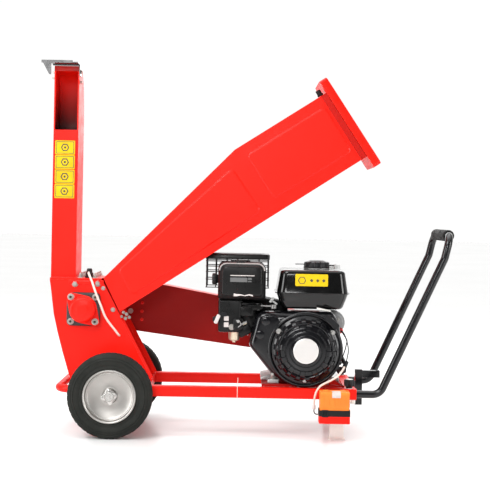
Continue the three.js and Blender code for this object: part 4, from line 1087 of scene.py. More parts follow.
def add_cap():
    node = "bearing_cap"
    centre = middle("near_bearing")
    face = PLATE_NEAR - CASTING_FACE
    deep = abs(low(node).y - face)
    radius = 37.0
    shape = Shape((centre.x, face, centre.z), NEAR)
    levels = [(radius + 3, CAP_EAR, 0.1), (radius + 3, CAP_EAR, 2.2), (radius + 2.2, CAP_EAR - 0.8, 3.0)]
    shape.loft([[(x, y, h) for x, y in lozenge(r, BOLT_SPAN, ear)] for r, ear, h in levels])
    shape.lathe([(0, 2.6), (radius + 1.5, 2.8), (radius, 4.6), (radius - 0.3, deep - 9),
                 (radius - 1.6, deep - 5), (radius - 4.8, deep - 2.1), (radius - 9, deep - 1.2),
                 (16.5, deep - 0.9), (15.4, deep - 0.2), (14, deep), (0, deep)], 80)
    shape.stands_for(node, "bearing_dust_cap", "red_paint", 36)


GUARD_BOLTS = (227, -69, 7), (226, -94, 7), (226, -119, 7), (70, -60, 7), (620, -150, 8), (590, -190, 8)


def add_guard_details():
    bolts = Shape()
    back = low("belt_guard_back").y
    origin = at("belt_guard_back", 0, 0, 1)
    for dx, dz, across in GUARD_BOLTS:
        bolts.bolt((origin.x + dx, back, origin.z + dz), NEAR, across, across * 0.75)
    bolts.done("guard_bolts", "red_paint", "frame")


add_chute_label()
add_chute_details()
add_flap_details()
add_housing_details()
for side, sign in SIDES:
    add_bearing(side, sign)
add_bearing_bolts()
add_cap()
add_guard_details()


# ------------------------------------------------------------------ engine
CRANK_AXIS = middle("crankshaft")
SHROUD_FRONT = -low("blower_housing").y
SHROUD_BACK = -high("blower_housing").y
SHROUD_OUTLINE = [(-161, 10), (-95, -71), (-67, -91), (45, -93), (79, -73), (97, -34), (101, 13), (98, 61),
                  (87, 91), (75, 106), (-126, 106), (-140, 92), (-150, 50)]
SAMPLES = 216
ALMOST_ZERO = 1e-9


def polar_radii(outline, passes):
    """Distances from the crank axis to a closed outline at even angles; each pass softens the corners."""
    radii = []
    for k in range(SAMPLES):
        angle = 2 * math.pi * k / SAMPLES
        ray = Vector((math.cos(angle), math.sin(angle)))
        best = None
        for a, b in zip(outline, outline[1:] + outline[:1]):
            a, edge = Vector(a), Vector(b) - Vector(a)
            cross = ray.x * edge.y - ray.y * edge.x
            if abs(cross) < ALMOST_ZERO:
                continue
            t = (a.x * edge.y - a.y * edge.x) / cross
            u = (a.x * ray.y - a.y * ray.x) / cross
            if t > 0 and -ALMOST_ZERO <= u <= 1 + ALMOST_ZERO:
                best = t if best is None else min(best, t)
        radii.append(best)
    for _ in range(passes):
        radii = [(radii[k - 1] + 2 * radii[k] + radii[(k + 1) % SAMPLES]) / 4 for k in range(SAMPLES)]
    return radii


# how far in from the outline, and the height over the shroud's back or front edge
SHROUD_FOOT = ((6, 3), (1, 0), (0, 1.5), (0, 14), (1.8, 15.2), (1.8, 17.5), (0, 19))
SHROUD_TOP = ((0, -24), (1.2, -16), (4.0, -9), (8.5, -4), (14.5, -1.2), (21, -0.2))
SHROUD_COLLAR = ((106, 0.0), (104.6, 1.6), (102.4, 3.0), (99.4, 3.2), (97.4, 2.2), (96.4, 0.2), (96, -22),
                 (60, -24))


def add_shroud():
    radii = polar_radii(SHROUD_OUTLINE, 5)
    front = SHROUD_FRONT
    levels = [(inset, SHROUD_BACK + h) for inset, h in SHROUD_FOOT]
    levels += [(inset, front + h) for inset, h in SHROUD_TOP]
    rings = [round_points([r - inset for r in radii], h) for inset, h in levels]
    rings += [circle(r, SAMPLES, front + h) for r, h in SHROUD_COLLAR]
    shape = Shape((CRANK_AXIS.x, 0, CRANK_AXIS.z), NEAR)
    shape.loft(rings)
    for dx, dz, turn in ((-12, 98, 0.5), (0, 96.5, 0.0), (12, 98, -0.5)):
        shape.aim((CRANK_AXIS.x + dx, -front + 14, CRANK_AXIS.z + dz), NEAR, turn)
        shape.block(2.2, 4, 10, 15.2, 1.5, 0.8)
    for dx, dz in ((-112, 78), (-128, 40)):
        shape.aim((CRANK_AXIS.x + dx, -front + 2, CRANK_AXIS.z + dz), NEAR)
        shape.lathe([(0, 0), (13, 0), (12, 3), (9, 4), (0, 4)], 32)
    shape.stands_for("blower_housing", "blower_shroud", "gloss_black_plastic", 48)


RECOIL_STEPS = 288
# inner and outer radius of a ring of slots, steps from slot to slot, and how many of them are open
FACE_SLOTS = 59, 72.5, 24, 14
SIDE_SLOTS = 79.5, 87.5, 16, 9
FACE_HEIGHT = 181


def in_slot(k, r, slots):
    inner, outer, pitch, opened = slots
    return inner < r < outer and k % pitch < opened


def recoil_point(k, r, h):
    """Sinks the air slots of the cover's face and of its side."""
    if h > FACE_HEIGHT and in_slot(k, r, FACE_SLOTS):
        return r, h - 5.0
    if in_slot(k, r, SIDE_SLOTS):
        return r - 2.6, h - 3.4
    return r, h


RECOIL_PROFILE = [(0, 151), (94.6, 151), (95, 152), (94.6, 154.6), (93.4, 155.8), (90, 156.2),
                  (88.8, 157.4), (87.3, 163), (86.0, 168), (83.6, 172.6), (80.2, 176), (76.2, 177.6),
                  (74.6, 177.2), (73.6, 178.2), (72.6, 180.6), (71.2, 182.8), (67.6, 184.6), (63, 185.6),
                  (59.6, 186), (57.8, 185.9), (57.1, 184.9), (55.7, 184.9), (54.9, 186.2), (50.5, 187.2),
                  (46.2, 187.4), (45.4, 186.5), (43.8, 186.5), (43, 187.8), (39.4, 188.4), (38.2, 189.4),
                  (36.6, 189.6), (35.8, 188.6), (0, 188.6)]
RECOIL_SCREWS = ((146, 91), (33.5, 90), (270, 84))


def round_crank(angle, reach, y):
    """A point at an angle in degrees and a distance from the crank's axis."""
    turn = math.radians(angle)
    return CRANK_AXIS.x + reach * math.cos(turn), y, CRANK_AXIS.z + reach * math.sin(turn)


def add_recoil():
    shape = Shape(round_crank(0, 0, 0), NEAR)
    shape.lathe(RECOIL_PROFILE, RECOIL_STEPS, shape=recoil_point)
    for angle, reach in RECOIL_SCREWS:
        shape.aim(round_crank(angle, reach, 0), NEAR)
        shape.lathe([(0, 150), (9.5, 150), (9, 156.4), (7.6, 157.4), (0, 157.4)], 32)
    shape.stands_for("recoil_cover", "recoil_housing", "gloss_black_plastic", 44)


def add_recoil_trim():
    front = -low("recoil_cover").y
    badge = Shape(round_crank(0, 0, 0), NEAR)
    badge.lathe([(0, 188), (35, 188), (35.2, 189.4), (34.4, front), (32.6, front + 0.1), (32.2, front - 0.3),
                 (31.4, front - 0.3), (31, front + 0.1), (0, front + 0.2)], 96)
    badge.done("recoil_badge", "badge_silver", "frame")
    screws = Shape()
    for angle, reach in RECOIL_SCREWS:
        screws.bolt(round_crank(angle, reach, -157.2), NEAR, 8.5, 7.2)
    for dx, dz in ((-91, -71), (69, -73)):
        screws.bolt((CRANK_AXIS.x + dx, -SHROUD_FRONT + 12, CRANK_AXIS.z + dz), NEAR, 7, 5.5)
    screws.done("recoil_screws", "bright_steel", "frame")


# growth in length and in width, corner, and height over the seam
TANK_LEVELS = ((-40, -34, 10, -45), (-24, -18, 16, -44.7), (-18.5, -12, 21, -42.6), (-15, -9, 24, -38),
               (-7, -5, 26, -17), (-3, -2.8, 27, -5), (-1.6, -1.4, 27, -1.6), (2.2, 2.2, 29, -1.2),
               (3, 3, 30, 0), (2.2, 2.2, 29, 1.2), (-1.6, -1.4, 27, 1.7), (-2.4, -1.8, 27, 4),
               (-6, -3.4, 26, 26), (-9.8, -4.6, 24, 50), (-11.2, -5.6, 24, 58), (-12.8, -7.2, 24, 61.6),
               (-15.6, -10, 23, 64), (-20, -15, 21, 65.2), (-34, -30, 14, 65.6))
TANK_SEAM = 45.0


def add_tank():
    node = "fuel_tank"
    half = half_size(node)
    levels = TANK_LEVELS + ((-70, -62, 4, 2 * half.z + 1 - TANK_SEAM),)
    shape = Shape(at(node, 0.5, 0.5, 0, dz=TANK_SEAM))
    shape.loft([rounded_box(half.x + dx, half.y + dy, corner, h, 10) for dx, dy, corner, h in levels])
    shape.stands_for(node, "fuel_tank_shell", "tank_black", 46)


def add_tank_label():
    """A plain yellow plate with a hexagon and three lozenges, lying on the tank's leaning face."""
    x, y, z = at("fuel_tank", 0.5, 0, 0, dy=2.6, dz=TANK_SEAM + 37.5)
    lean = (0, -1, 0.09)
    sticker("tank_label", "label_yellow", (x - 4, y, z), lean, 92, 34, 3)
    marks = Shape((x - 31, y, z - 1), lean)
    marks.hexagon([(11.5, 0.2), (11.5, 0.75), (9.2, 0.75), (9.2, 0.2)], wrap=True)
    for dx in (-4, 13, 30):
        marks.aim((x + dx, y, z - 1), lean, math.pi / 4).block(3.6, 3.6, 0.2, 0.75, 0.6, 0.1)
    marks.done("tank_label_marks", "label_ink", "frame")


CAP_GRIPS = 14
GRIP_STEPS = 8


def add_fuel_cap():
    node = "fuel_cap"
    centre = at(node, 0.5, 0.5, 0)
    reach, tall = half_size(node).x, 2 * half_size(node).z
    ring = Shape(centre)
    ring.lathe([(0, -1), (reach - 1, -1), (reach - 1.4, 1.0), (reach + 0.6, 1.8), (reach + 0.8, 2.8),
                (0, 3.0)], 64)
    ring.aim(centre + Vector((46, -6, 2)), UP).block(14, 5, -1, 7, 2, 1.2)
    ring.aim(centre + Vector((58, -10, 2)), UP, 0.3).block(9, 3.5, -1, 12, 1.5, 1.0)
    ring.done("tank_neck_ring", "cast_aluminium", "frame")

    def gripped(k, r, h):
        groove = 6.2 < h < tall - 5 and r > reach - 3 and k % GRIP_STEPS < 2
        return (r - 2.2, h) if groove else (r, h)

    side = [(0, 2.6), (reach - 1, 2.6), (reach + 1.2, 3.4), (reach + 1.6, 4.6), (reach, 5.4), (reach, 7.2)]
    side += [(reach - d, tall - h) for d, h in ((0.8, 8), (2, 5.4), (8, 3.6), (14, 2))]
    dome = [(20, tall - 0.8), (19, tall - 1.8), (17.5, tall - 1.8), (16.4, tall - 0.6), (0, tall)]
    body = Shape(centre)
    body.lathe(side + dome, CAP_GRIPS * GRIP_STEPS, shape=gripped)
    body.aim(centre + Vector((-48, 0, 12.6)), UP).block(14, 3.2, -1.2, 1.2, 2.4, 0.6)
    body.aim(centre + Vector((44, 0, 8.5)), UP).block(9, 4.0, -2.4, 3.6, 2.4, 1.0)
    body.stands_for(node, "fuel_cap_body", "black_plastic", 40)


# inset, height over the case's back, upper corner and lower corner
CLEANER_BACK = ((3, 0, 20, 7), (0, 1.5, 22, 8))
# the same, with the height over the case's front
CLEANER_FRONT = ((0, -27, 22, 8), (2.2, -26, 21, 7), (2.2, -23.5, 21, 7), (0.4, -22.5, 22, 8),
                 (0.6, -17, 22, 8), (2.2, -13.6, 21, 8), (8.4, -6.4, 20, 8), (10.4, -5.2, 18, 7),
                 (11.4, -3.0, 17, 7), (13.0, -0.8, 16, 7), (16, 0, 15, 6))
CLEANER_PLATES = ((-9, 3.6, 48, 12), (22, 6.6, 10, 6), (22, -0.6, 10, 3))
SWOOSH = [(-27, -3.5), (-18, -3.2), (-8, -1.2), (4, -2.6), (16, -0.6), (27, -3.4),
          (27, 0.6), (16, 3.0), (4, -0.4), (-8, 2.4), (-18, 2.6), (-27, 4.4)]
INK_LEVELS = ((0, -0.2), (0, THICK_LABEL))


def add_air_cleaner():
    node = "air_cleaner"
    half = half_size(node)
    back = at(node, 0.5, 1, 0.5)
    deep = 2 * half.y
    shape = Shape(back, NEAR)
    levels = CLEANER_BACK + tuple((i, deep + h, t, b) for i, h, t, b in CLEANER_FRONT)
    shape.loft([rounded_box(half.x - i, half.z - i, t, h, 8, b) for i, h, t, b in levels])
    shape.aim((back.x - 5, back.y - 40, high(node).z - 1), UP).block(28, 14, 0, 5.5, 4, 1.6)
    shape.aim((back.x - 5, back.y - 78, high(node).z - 1.2), UP).block(12, 5, 0, 4.2, 3, 1.2)
    shape.stands_for(node, "air_cleaner_case", "case_black", 40)
    # painted highlight: a light grey band swept along the top of the cover stands in for the light reflected
    # by its bevel
    outline = rounded_box(half.x - 4.4, half.z - 4.4, 19.5, deep - 10.6, 10, 8)
    upper = [back + Vector((x, -depth, z)) for x, z, depth in outline if z > half.z - 28]
    lip = [(-2.1, -0.5), (2.1, -0.5), (2.1, 0.5), (1.3, 1.1), (-1.3, 1.1), (-2.1, 0.5)]
    highlight_band = Shape().sweep(upper, section=lip).sweep(upper, 2.0, 10)
    highlight_band.done("air_cleaner_highlight_band", "seal_grey", "frame")


def add_cleaner_plates():
    """Plain grey plates and white stripes on the air cleaner's face."""
    x, face, z = at("air_cleaner", 0.5, 0, 0.5)
    plates = Shape()
    for dx, dz, width, height in CLEANER_PLATES:
        plates.aim((x + dx, face, z + dz), NEAR)
        plates.stack(width / 2, height / 2, [(d, h, 1) for d, h in INK_LEVELS])
    plates.done("air_cleaner_plate", "label_grey", "frame")
    stripe = Shape()
    stripe.aim((x + 1, face, z + 15.6), NEAR).stack(34, 1.2, [(d, h, 0.8) for d, h in INK_LEVELS])
    stripe.aim((x + 4.5, face, z - 39), NEAR).prism(SWOOSH, -0.2, THICK_LABEL)
    stripe.done("air_cleaner_stripe", "label_white", "frame")


def add_cleaner_knob():
    node = "air_cleaner_knob"
    reach, half = half_size(node).z, half_size(node).x

    def fluted(k, r, h):
        return (r - 1.6, h) if r > reach - 2 and k % 6 < 2 else (r, h)

    knob = Shape(middle(node), LEFT)
    knob.lathe([(0, -half), (reach - 4, -half), (reach - 2.5, -half + 4), (reach - 1, -half + 5),
                (reach, -half + 7), (reach, half - 3), (reach - 1.2, half - 1), (reach - 3.6, half),
                (0, half + 0.3)], 60, shape=fluted)
    knob.stands_for(node, "air_cleaner_turn_knob", "black_plastic", 40)


CARB = "carburettor"
CARB_FRONT = low(CARB).y
CARB_LEFT = low("air_cleaner").x + 2
CARB_RIGHT = high(CARB).x - 14
CARB_TOP = low("air_cleaner").z
CARB_BOTTOM = CARB_TOP - 93
# inset, height over the cover's front, and corner
COVER_FRONT = ((0, -7, 5), (1, -3, 5), (3.6, -0.6, 4), (6, 0, 3))
# offset from the cover's lower right corner at the front, turn, then what block() takes
CARB_BLOCKS = (
    (-8, 3, 24, 0.0, (14, 16, -10, 9, 6, 2.5)),
    (12, 12, 60, 0.0, (22, 14, -20, 8, 5, 2)),
    (18, 34, 44, 0.0, (24, 40, -30, 6, 8, 3)),
    (10, 22, 4, 0.5, (20, 14, -26, 6, 6, 3)),
    (26, 10, 70, 0.1, (34, 8, -20, 4, 4, 2)),
)


def carb_corner(dx, dy, dz):
    """A point measured from the cover's lower right corner at the front."""
    return Vector((CARB_RIGHT + dx, CARB_FRONT + dy, CARB_BOTTOM + dz))


def add_carburettor():
    shape = Shape(((CARB_LEFT + CARB_RIGHT) / 2, 0, (CARB_TOP + CARB_BOTTOM) / 2), NEAR)
    half_x, half_z = (CARB_RIGHT - CARB_LEFT) / 2, (CARB_TOP - CARB_BOTTOM) / 2
    levels = ((2, 66, 4), (0, 68, 5)) + tuple((i, h - CARB_FRONT, c) for i, h, c in COVER_FRONT)
    shape.loft([rounded_box(half_x - i, half_z - i, c, h, 8, c + 3) for i, h, c in levels])
    for dx, dy, dz, turn, sizes in CARB_BLOCKS:
        shape.aim(carb_corner(dx, dy, dz), NEAR, turn).block(*sizes)
    shape.stands_for(CARB, "carburettor_cover", "case_black", 40)
    bowl = Shape((low(CARB).x + 36, -112, CARB_BOTTOM + 4), DOWN)
    bowl.lathe([(0, -3), (19, -3), (19.5, 2), (18, 4), (16.4, 6), (15.8, 22), (14.4, 26.5), (10, 29),
                (6, 29.6), (5.6, 33), (4.6, 34.5), (0, 34.5)], 40)
    bowl.aim((CARB_RIGHT + 6, -100, CARB_BOTTOM + 14), NEAR)
    bowl.lathe([(0, -20), (16, -20), (16, 18), (14.5, 20), (0, 20)], 32)
    bowl.done("carburettor_bowl", "bowl_brass", BODY_OF[CARB])


def add_carburettor_trim():
    marks = Shape()
    for dz in (39.2, 21.4):
        marks.aim((CARB_LEFT + 23.3, CARB_FRONT, CARB_BOTTOM + dz), NEAR)
        marks.stack(6.6, 6.6, [(0, -0.3, 1.5), (0, 0.4, 1.5), (-2.2, 0.4, 1.2), (-2.2, 0.1, 1.2)])
    marks.done("lever_marks", "label_white", BODY_OF[CARB])
    screw = Shape().bolt((CARB_LEFT + 38.6, CARB_FRONT + 0.5, CARB_BOTTOM + 15), NEAR, 10, 8.4)
    screw.done("carburettor_screw", "bolt_steel", BODY_OF[CARB])


COIL_POINTS = 120
COIL_TURN = 0.42
COIL_RADIUS = 2.8


def add_linkage():
    """The governor's spring, its bent rod and two small levers."""
    bits = Shape().bolt(carb_corner(-8, -5.6, 32), NEAR, 6, 4.5)
    start = carb_corner(-2, -8, 22)
    coil = []
    for k in range(COIL_POINTS):
        y, z = COIL_RADIUS * math.cos(k * COIL_TURN), COIL_RADIUS * math.sin(k * COIL_TURN)
        coil.append(start + Vector((k * 0.15, y, z + k * 0.08)))
    bits.aim((0, 0, 0)).sweep(coil, 0.6, 6)
    rod = [carb_corner(*p) for p in ((-14, -7, 35), (-4, -9, 33), (1, -9, 23), (-8, -7, 16))]
    bits.sweep(arc_points(rod, 4), 1.0, 8)
    bits.aim((75, -126, 386), NEAR, 0.9).block(9, 3.4, 0, 2.4, 1.5, 0.5)
    bits.aim((84, -122, 378), NEAR, -0.6).block(8, 2.6, 0, 2.4, 1.2, 0.5)
    bits.done("governor_linkage", "cast_aluminium", BODY_OF[CARB])


AIR_GUIDE = [(-14, 336), (-12, 384), (-4, 391), (34, 391), (62, 384), (104, 376), (122, 364), (124, 348),
             (112, 338)]


def add_air_guide():
    """The sheet over the leaning cylinder, seen between the air cleaner and the tank."""
    shape = Shape((0, 0, 0), NEAR)
    shape.prism(AIR_GUIDE, -44, 57)
    for x in (18, 56, 92):
        shape.aim((x, -57, 366), NEAR).lathe([(0, -1), (4.6, -1), (4.6, 1.6), (3.8, 2.4), (0, 2.4)], 20)
    shape.done("cylinder_air_guide", "black_rubber", "frame", bevel=2.5, segments=3)


def add_choke_tip():
    node = "choke_lever"
    tip = Shape((low(node).x + 12.5, low(node).y + 0.8, low(node).z + 6.5), NEAR, -0.42)
    tip.block(5.4, 13.5, -8.6, 1.2, 4.2, 1.2)
    tip.done("choke_lever_tip", "label_white", BODY_OF[node])


STARTER = "starter_motor"
STARTER_RADIUS = 34.0
STARTER_FACE = 57.0
STARTER_AXIS = at(STARTER, 1, 0, 1, -STARTER_RADIUS, -low(STARTER).y, -STARTER_RADIUS)
TERMINAL = STARTER_AXIS + Vector((22, -STARTER_FACE, -22))
# growth over the motor's radius and height over its near face
STARTER_NOSE = ((0, -22), (1.4, -21), (1.4, -16), (0, -15), (-0.6, -7), (-3, -2.6), (-8, -0.4))
# offsets from the wires' start at the terminal
LONG_WIRE = ((0, 0, 0), (4, -6, -3), (19, -6, -26), (14, -2, -52), (4, 10, -88))
SHORT_WIRE = ((-6, 4, -10), (2, 2, -34), (6, 6, -60), (0, 14, -86))


def add_starter():
    back = -high(STARTER).y
    profile = [(0, back)] + [(STARTER_RADIUS - d, back + h) for d, h in ((4, 0), (1, 2), (0, 6))]
    profile += [(STARTER_RADIUS + d, STARTER_FACE + h) for d, h in STARTER_NOSE]
    profile += [(12, STARTER_FACE), (11, STARTER_FACE + 3), (0, STARTER_FACE + 3.4)]
    shape = Shape(STARTER_AXIS, NEAR).lathe(profile, 64)
    shape.stands_for(STARTER, "starter_body", "starter_grey", 40)
    boot = Shape(TERMINAL + Vector((0, 4, 0)), NEAR)
    boot.lathe([(0, -6), (8, -6), (8, 6), (6.8, 9), (5.2, 11), (4.4, 15), (0, 15)], 28)
    boot.done("starter_terminal_boot", "red_plastic", BODY_OF[STARTER])
    studs = Shape()
    for dx, dz in ((14, 10), (-14, -10)):
        studs.stud(STARTER_AXIS + Vector((dx, -STARTER_FACE - 1, dz)), NEAR, 7, 5, 5)
    studs.done("starter_studs", "bolt_steel", BODY_OF[STARTER])


def add_starter_wires():
    start = TERMINAL + Vector((0, -10, 0))
    wires = Shape()
    for places, bend, radius in ((LONG_WIRE, 10, 1.6), (SHORT_WIRE, 8, 1.3)):
        wires.sweep(arc_points([start + Vector(p) for p in places], bend), radius, 10)
    wires.done("starter_wires", "black_rubber", "frame")
    plugs = Shape()
    plugs.aim(start + Vector((8, -4, -84)), (0.5, -0.3, -1)).block(5.5, 4.5, -9, 9, 1.4, 0.8)
    plugs.aim(start + Vector((-4, -2, -90)), (0.9, -0.2, -0.5)).block(4.5, 4, -9, 9, 1.2, 0.8)
    plugs.done("harness_plugs", "black_plastic", "frame")


MOUNT_X = 84, 236
MOUNT_Y = 98
GUSSET = [(240, 149.8), (240, 166), (252, 166), (284, 147), (284, 142.8), (276.6, 142.8), (276.6, 149.8)]
GUSSET_FACES = 133.5, 137.5


def add_engine_extras():
    bolts = Shape()
    feet = Shape()
    deck = high("engine_base_plate").z
    for x in MOUNT_X:
        for y in (-MOUNT_Y, MOUNT_Y):
            bolts.bolt((x, y, deck + 10), UP, 13, 11)
            feet.aim((x, y, deck + 0.3), UP).block(17, 14, 0, 9.8, 4, 1.5)
    bolts.done("engine_mount_bolts", "bolt_steel", "frame")
    feet.done("engine_feet", "cast_aluminium", "frame")
    tank = low("fuel_tank")
    rim = Shape()
    rim.aim((tank.x + 134, -148, tank.z + 0.6), NEAR, -0.2).block(20, 2.3, 0, 3, 1.5, 0.8)
    rim.done("tank_bracket", "zinc_plate", "frame")
    gussets = Shape((0, 0, 0), NEAR)
    inner, outer = GUSSET_FACES
    gussets.prism(GUSSET, inner, outer)
    gussets.prism(GUSSET, -outer, -inner)
    gussets.done("base_plate_gussets", "shadow_red", "frame", bevel=0.8, segments=2)


add_shroud()
add_recoil()
add_recoil_trim()
add_tank()
add_tank_label()
add_fuel_cap()
add_air_cleaner()
add_cleaner_plates()
add_cleaner_knob()
add_carburettor()
add_carburettor_trim()
add_linkage()
add_air_guide()
add_choke_tip()
add_starter()
add_starter_wires()
add_engine_extras()


# ------------------------------------------------------------------ battery, straps and leads
BATTERY = "battery"
BATTERY_TRAY = 23.0
CUP_WALL = 1.4


def add_battery():
    half, tall = half_size(BATTERY), 2 * half_size(BATTERY).z
    top, front = at(BATTERY, 0.5, 0.5, 1), at(BATTERY, 0.5, 0, 0)
    shape = Shape(at(BATTERY, 0.5, 0.5, 0))
    shape.stack(half.x, half.y, [(-2, 0, 4), (-0.6, 1.0, 5), (-0.6, BATTERY_TRAY, 5), (-0.6, tall - 11, 5),
                                 (0, tall - 10, 5), (0, tall - 2.4, 5), (-0.8, tall - 0.8, 4.6),
                                 (-2.6, tall, 4)])
    for dx in (-24, 24):
        shape.aim(top + Vector((dx, 8, 0)), UP).block(8, 8, -1, 1.6, 2, 0.8)
    for dx in (-30, -15, 0, 15, 30):
        shape.aim(front + Vector((dx, 0.4, 62)), NEAR).block(1.1, 13, -0.6, 0.7, 0.6, 0.4)
    shape.stands_for(BATTERY, "battery_case", "orange_plastic", 40)
    cup = Shape(at(BATTERY, 0.5, 0.5, 0))
    cup.stack(half.x, half.y, [(CUP_WALL, -0.4, 6), (CUP_WALL, BATTERY_TRAY - 0.6, 6),
                               (CUP_WALL - 0.5, BATTERY_TRAY, 5.6), (-0.2, BATTERY_TRAY, 5)],
              caps=(True, False))
    cup.done("battery_cup", "red_paint", "frame", solid=0.5)
    tag = Shape(front + Vector((4, 0.2, tall - 8)), NEAR).block(12, 7.5, -1, 1.1, 2, 0.5)
    tag.aim(top + Vector((4, -14, -0.2)), UP).block(12, 10, -1, 1.1, 2, 0.5)
    tag.done("battery_tag", "label_white", "frame")


def add_strap():
    node = "battery_strap"
    half_x, half_y = half_size(BATTERY).x, half_size(BATTERY).y
    half = half_size(node).z
    thick = half_size(node).x - half_x
    section = [(0.3, -half + 0.4), (thick - 0.4, -half), (thick, -half + 0.5)]
    section += [(thick - (0.35 if k % 2 else 0.0), -half + 1.5 + k * (2 * half - 3) / 8) for k in range(9)]
    section += [(thick, half - 0.5), (thick - 0.4, half), (0.3, half - 0.4)]
    centre = middle(BATTERY)
    band = Shape((centre.x, centre.y, middle(node).z))
    band.stack(half_x, half_y, [(d, dz, 5 + d) for d, dz in section], wrap=True)
    band.stands_for(node, "battery_webbing", "black_rubber", 40)
    buckle = Shape(at(node, 0, 0, 0.5, dx=17, dy=0.4), NEAR)
    buckle.stack(9, half + 1.4, [(0, 0, 2), (0, 1.6, 2), (-0.6, 2.2, 2), (-3.2, 2.2, 1), (-3.2, 0, 1)],
                 wrap=True)
    buckle.block(1.3, half, 0.6, 2.9, 1, 0.5)
    buckle.done("battery_buckle", "black_plastic", "frame")


# the lead's route follows the CAD model's lead: a thin dark wire down to a plug, then the sheathed lead
BATTERY_ROUTE = [(280, -71.6, 296), (280, -80, 296), (286, -94, 286), (292, -112, 266), (294, -128, 247),
                 (290, -142, 228), (284, -156, 210), (276, -167, 196), (262, -174, 180), (245, -176, 168.5),
                 (228, -177, 160), (213, -178, 151), (203, -180, 137), (198, -182, 120), (196, -184, 104),
                 (196, -188, 92), (196.5, -191, 81), (201, -191, 75.5), (207.4, -191, 75)]
PLUG_POINT = 6
SHEATH_END = 15
PLUG_DIRECTION = (0.45, 0.6, 1)


def smooth_path(points, steps=5):
    """A Catmull-Rom curve through the points."""
    points = [Vector(p) for p in points]
    ends = [points[0] * 2 - points[1]] + points + [points[-1] * 2 - points[-2]]
    path = []
    for a, b, c, d in zip(ends, ends[1:], ends[2:], ends[3:]):
        for k in range(steps):
            t = k / steps
            path.append(0.5 * (2 * b + (c - a) * t + (2 * a - 5 * b + 4 * c - d) * t * t
                               + (3 * b - 3 * c + d - a) * t * t * t))
    return path + [points[-1]]


def add_switch_gland():
    node = "safety_switch"
    tall = 2 * half_size(node).z
    shape = Shape(at(node, 0.5, 0.5, 0))
    shape.hexagon([(13.2, 0), (13.2, 5.4), (12.2, 6.2)])
    shape.lathe([(0, 5), (10.6, 5), (11, 7), (10.8, 14), (9.6, 15.4), (8, 16), (8.4, 18), (8, tall - 4),
                 (6, tall - 0.6), (0, tall)], 32)
    shape.stands_for(node, "switch_gland", "black_plastic", 40)


TIE_BACK = 334


def add_cable_tie():
    rail = "near_rail"
    half = half_size(rail).z
    knot = at(rail, 1, 0, 1, dx=-TIE_BACK, dy=6)
    tie = Shape(at(rail, 1, 0.5, 0.5, dx=-TIE_BACK), RIGHT)
    band = [(out, h, RAIL_CORNER + out) for out, h in ((0.1, -0.8), (0.7, -0.8), (0.7, 0.8), (0.1, 0.8))]
    tie.stack(half, half, band, wrap=True)
    tie.aim(knot, UP).block(1.8, 2.2, 0.4, 3.4, 0.8, 0.5)
    tie.aim(knot, (0.05, 0.25, 1)).block(0.8, 0.4, 3, 26, 0.3, 0.2)
    tie.done("cable_tie", "white_plastic", "frame")


def add_battery_lead():
    node = "battery_lead"
    plug_at, sheath_end = BATTERY_ROUTE[PLUG_POINT], BATTERY_ROUTE[SHEATH_END]
    sheath = Shape().sweep(smooth_path(BATTERY_ROUTE[PLUG_POINT:SHEATH_END + 1]), 3.0, 16)
    sheath.stands_for(node, "battery_lead_sheath", "white_plastic")
    wire = Shape().sweep(smooth_path(BATTERY_ROUTE[:PLUG_POINT + 1]), 1.5, 12)
    wire.sweep(smooth_path(BATTERY_ROUTE[SHEATH_END:]), 1.6, 12)
    wire.done("battery_lead_wire", "black_rubber", BODY_OF[node])
    plug = Shape(plug_at, PLUG_DIRECTION).block(5.5, 4.4, -8, 10, 1.4, 0.8).block(4.6, 5.4, -3, 6, 1.2, 0.6)
    plug.done("battery_lead_plug", "black_plastic", BODY_OF[node])
    boot = Shape(sheath_end, (0, 0.2, 1))
    boot.lathe([(0, -5), (4.2, -5), (4.6, -3), (4.6, 6), (3.6, 9), (0, 9)], 20)
    boot.done("battery_lead_boot", "label_white", BODY_OF[node])


def add_hopper_peg():
    peg = Shape(hopper_point(614, 633) + Vector((0, -56, 1)), (-0.54, 0, 0.84))
    peg.lathe([(0, -2), (9, -2), (9, 3), (7.6, 4), (7.6, 14), (6.2, 16.4), (0, 16.8)], 28)
    peg.done("hopper_peg", "black_rubber", "frame")


GUARD_RINGS = (21, 36, 52, 74, 97)
GUARD_FOLD = ((-1.6, -15), (0, -15), (0, -3), (-0.9, -0.9), (-3.2, 0), (-30, 0.2))


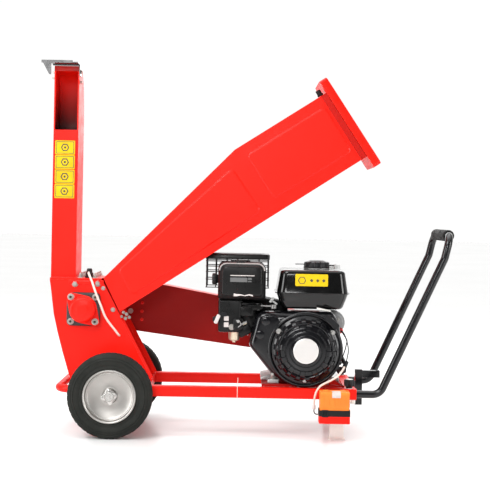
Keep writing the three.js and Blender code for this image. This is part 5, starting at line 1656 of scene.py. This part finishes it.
def add_muffler_guard():
    """A folded top sheet over a cage of thin wires."""
    node = "muffler_guard"
    half = half_size(node)
    top = at(node, 0.5, 0.5, 1)
    sheet = Shape(top).stack(half.x, half.y, [(d, h, 9 + d) for d, h in GUARD_FOLD], caps=(False, True))
    sheet.stands_for(node, "muffler_guard_top", "case_black", 40)
    wires = Shape()
    ring = rounded_box(half.x - 1.6, half.y - 1.6, 8, 0, 6)
    for drop in GUARD_RINGS:
        wires.sweep([(top.x + x, top.y + y, top.z - drop) for x, y, _ in ring], 1.35, 8, closed=True)
    stays = [(share * (half.x - 3.4), half.y - (2.8 if abs(share) < 1 else 4.4))
             for share in (-1, -0.7, -0.35, 0, 0.35, 0.7, 1)]
    places = [(x, sign * y) for x, y in stays for sign in (-1, 1)]
    places += [(sign * (half.x - 2.8), share * half.y) for share in (-0.45, 0.45) for sign in (-1, 1)]
    for x, y in places:
        wires.sweep([top + Vector((x, y, -14)), top + Vector((x, y, -GUARD_RINGS[-1] - 1.4))], 1.5, 8)
    wires.done("muffler_guard_wires", "black_paint", BODY_OF[node])


add_battery()
add_strap()
add_muffler_guard()
add_switch_gland()
add_cable_tie()
add_battery_lead()
add_hopper_peg()


# ------------------------------------------------------------------ carried-over CAD solids
EDGE_ROUND = 0.8
EDGE = {"chute": 0.9, "belt_guard_cover": 1.2, "tow_hitch": 3.6, "engine_base_plate": 1.2, "crankcase": 3.0,
        "muffler": 5.0, "recoil_grip": 3.5, "near_leg": 0.9, "far_leg": 0.9,
        "choke_lever": 1.0, "deflector_flap": 0.6}
ROUND_NODE = "safety_lead"
WELD_DISTANCE = 0.00001
SLOT_OF = {row["node"]: row["material_slot"] for row in frame["record"]["subparts"]}
OWN_LOOK = {"chute": "chute_paint", "throttle_lever": "lever_steel"}


def dress_cad(node):
    solid = frame["nodes"][node]
    solid.data.materials.clear()
    solid.data.materials.append(LOOKS[OWN_LOOK.get(node, SLOT_OF[node])])
    solid.data.shade_smooth()
    weld = solid.modifiers.new("weld", "WELD")
    weld.merge_threshold = WELD_DISTANCE
    if node == ROUND_NODE:
        smooth = solid.modifiers.new("round", "SUBSURF")
        smooth.levels = smooth.render_levels = 2
        return
    soften(solid, EDGE.get(node, EDGE_ROUND), 3, 32)


for node, solid in frame["nodes"].items():
    if not solid.hide_render:
        dress_cad(node)
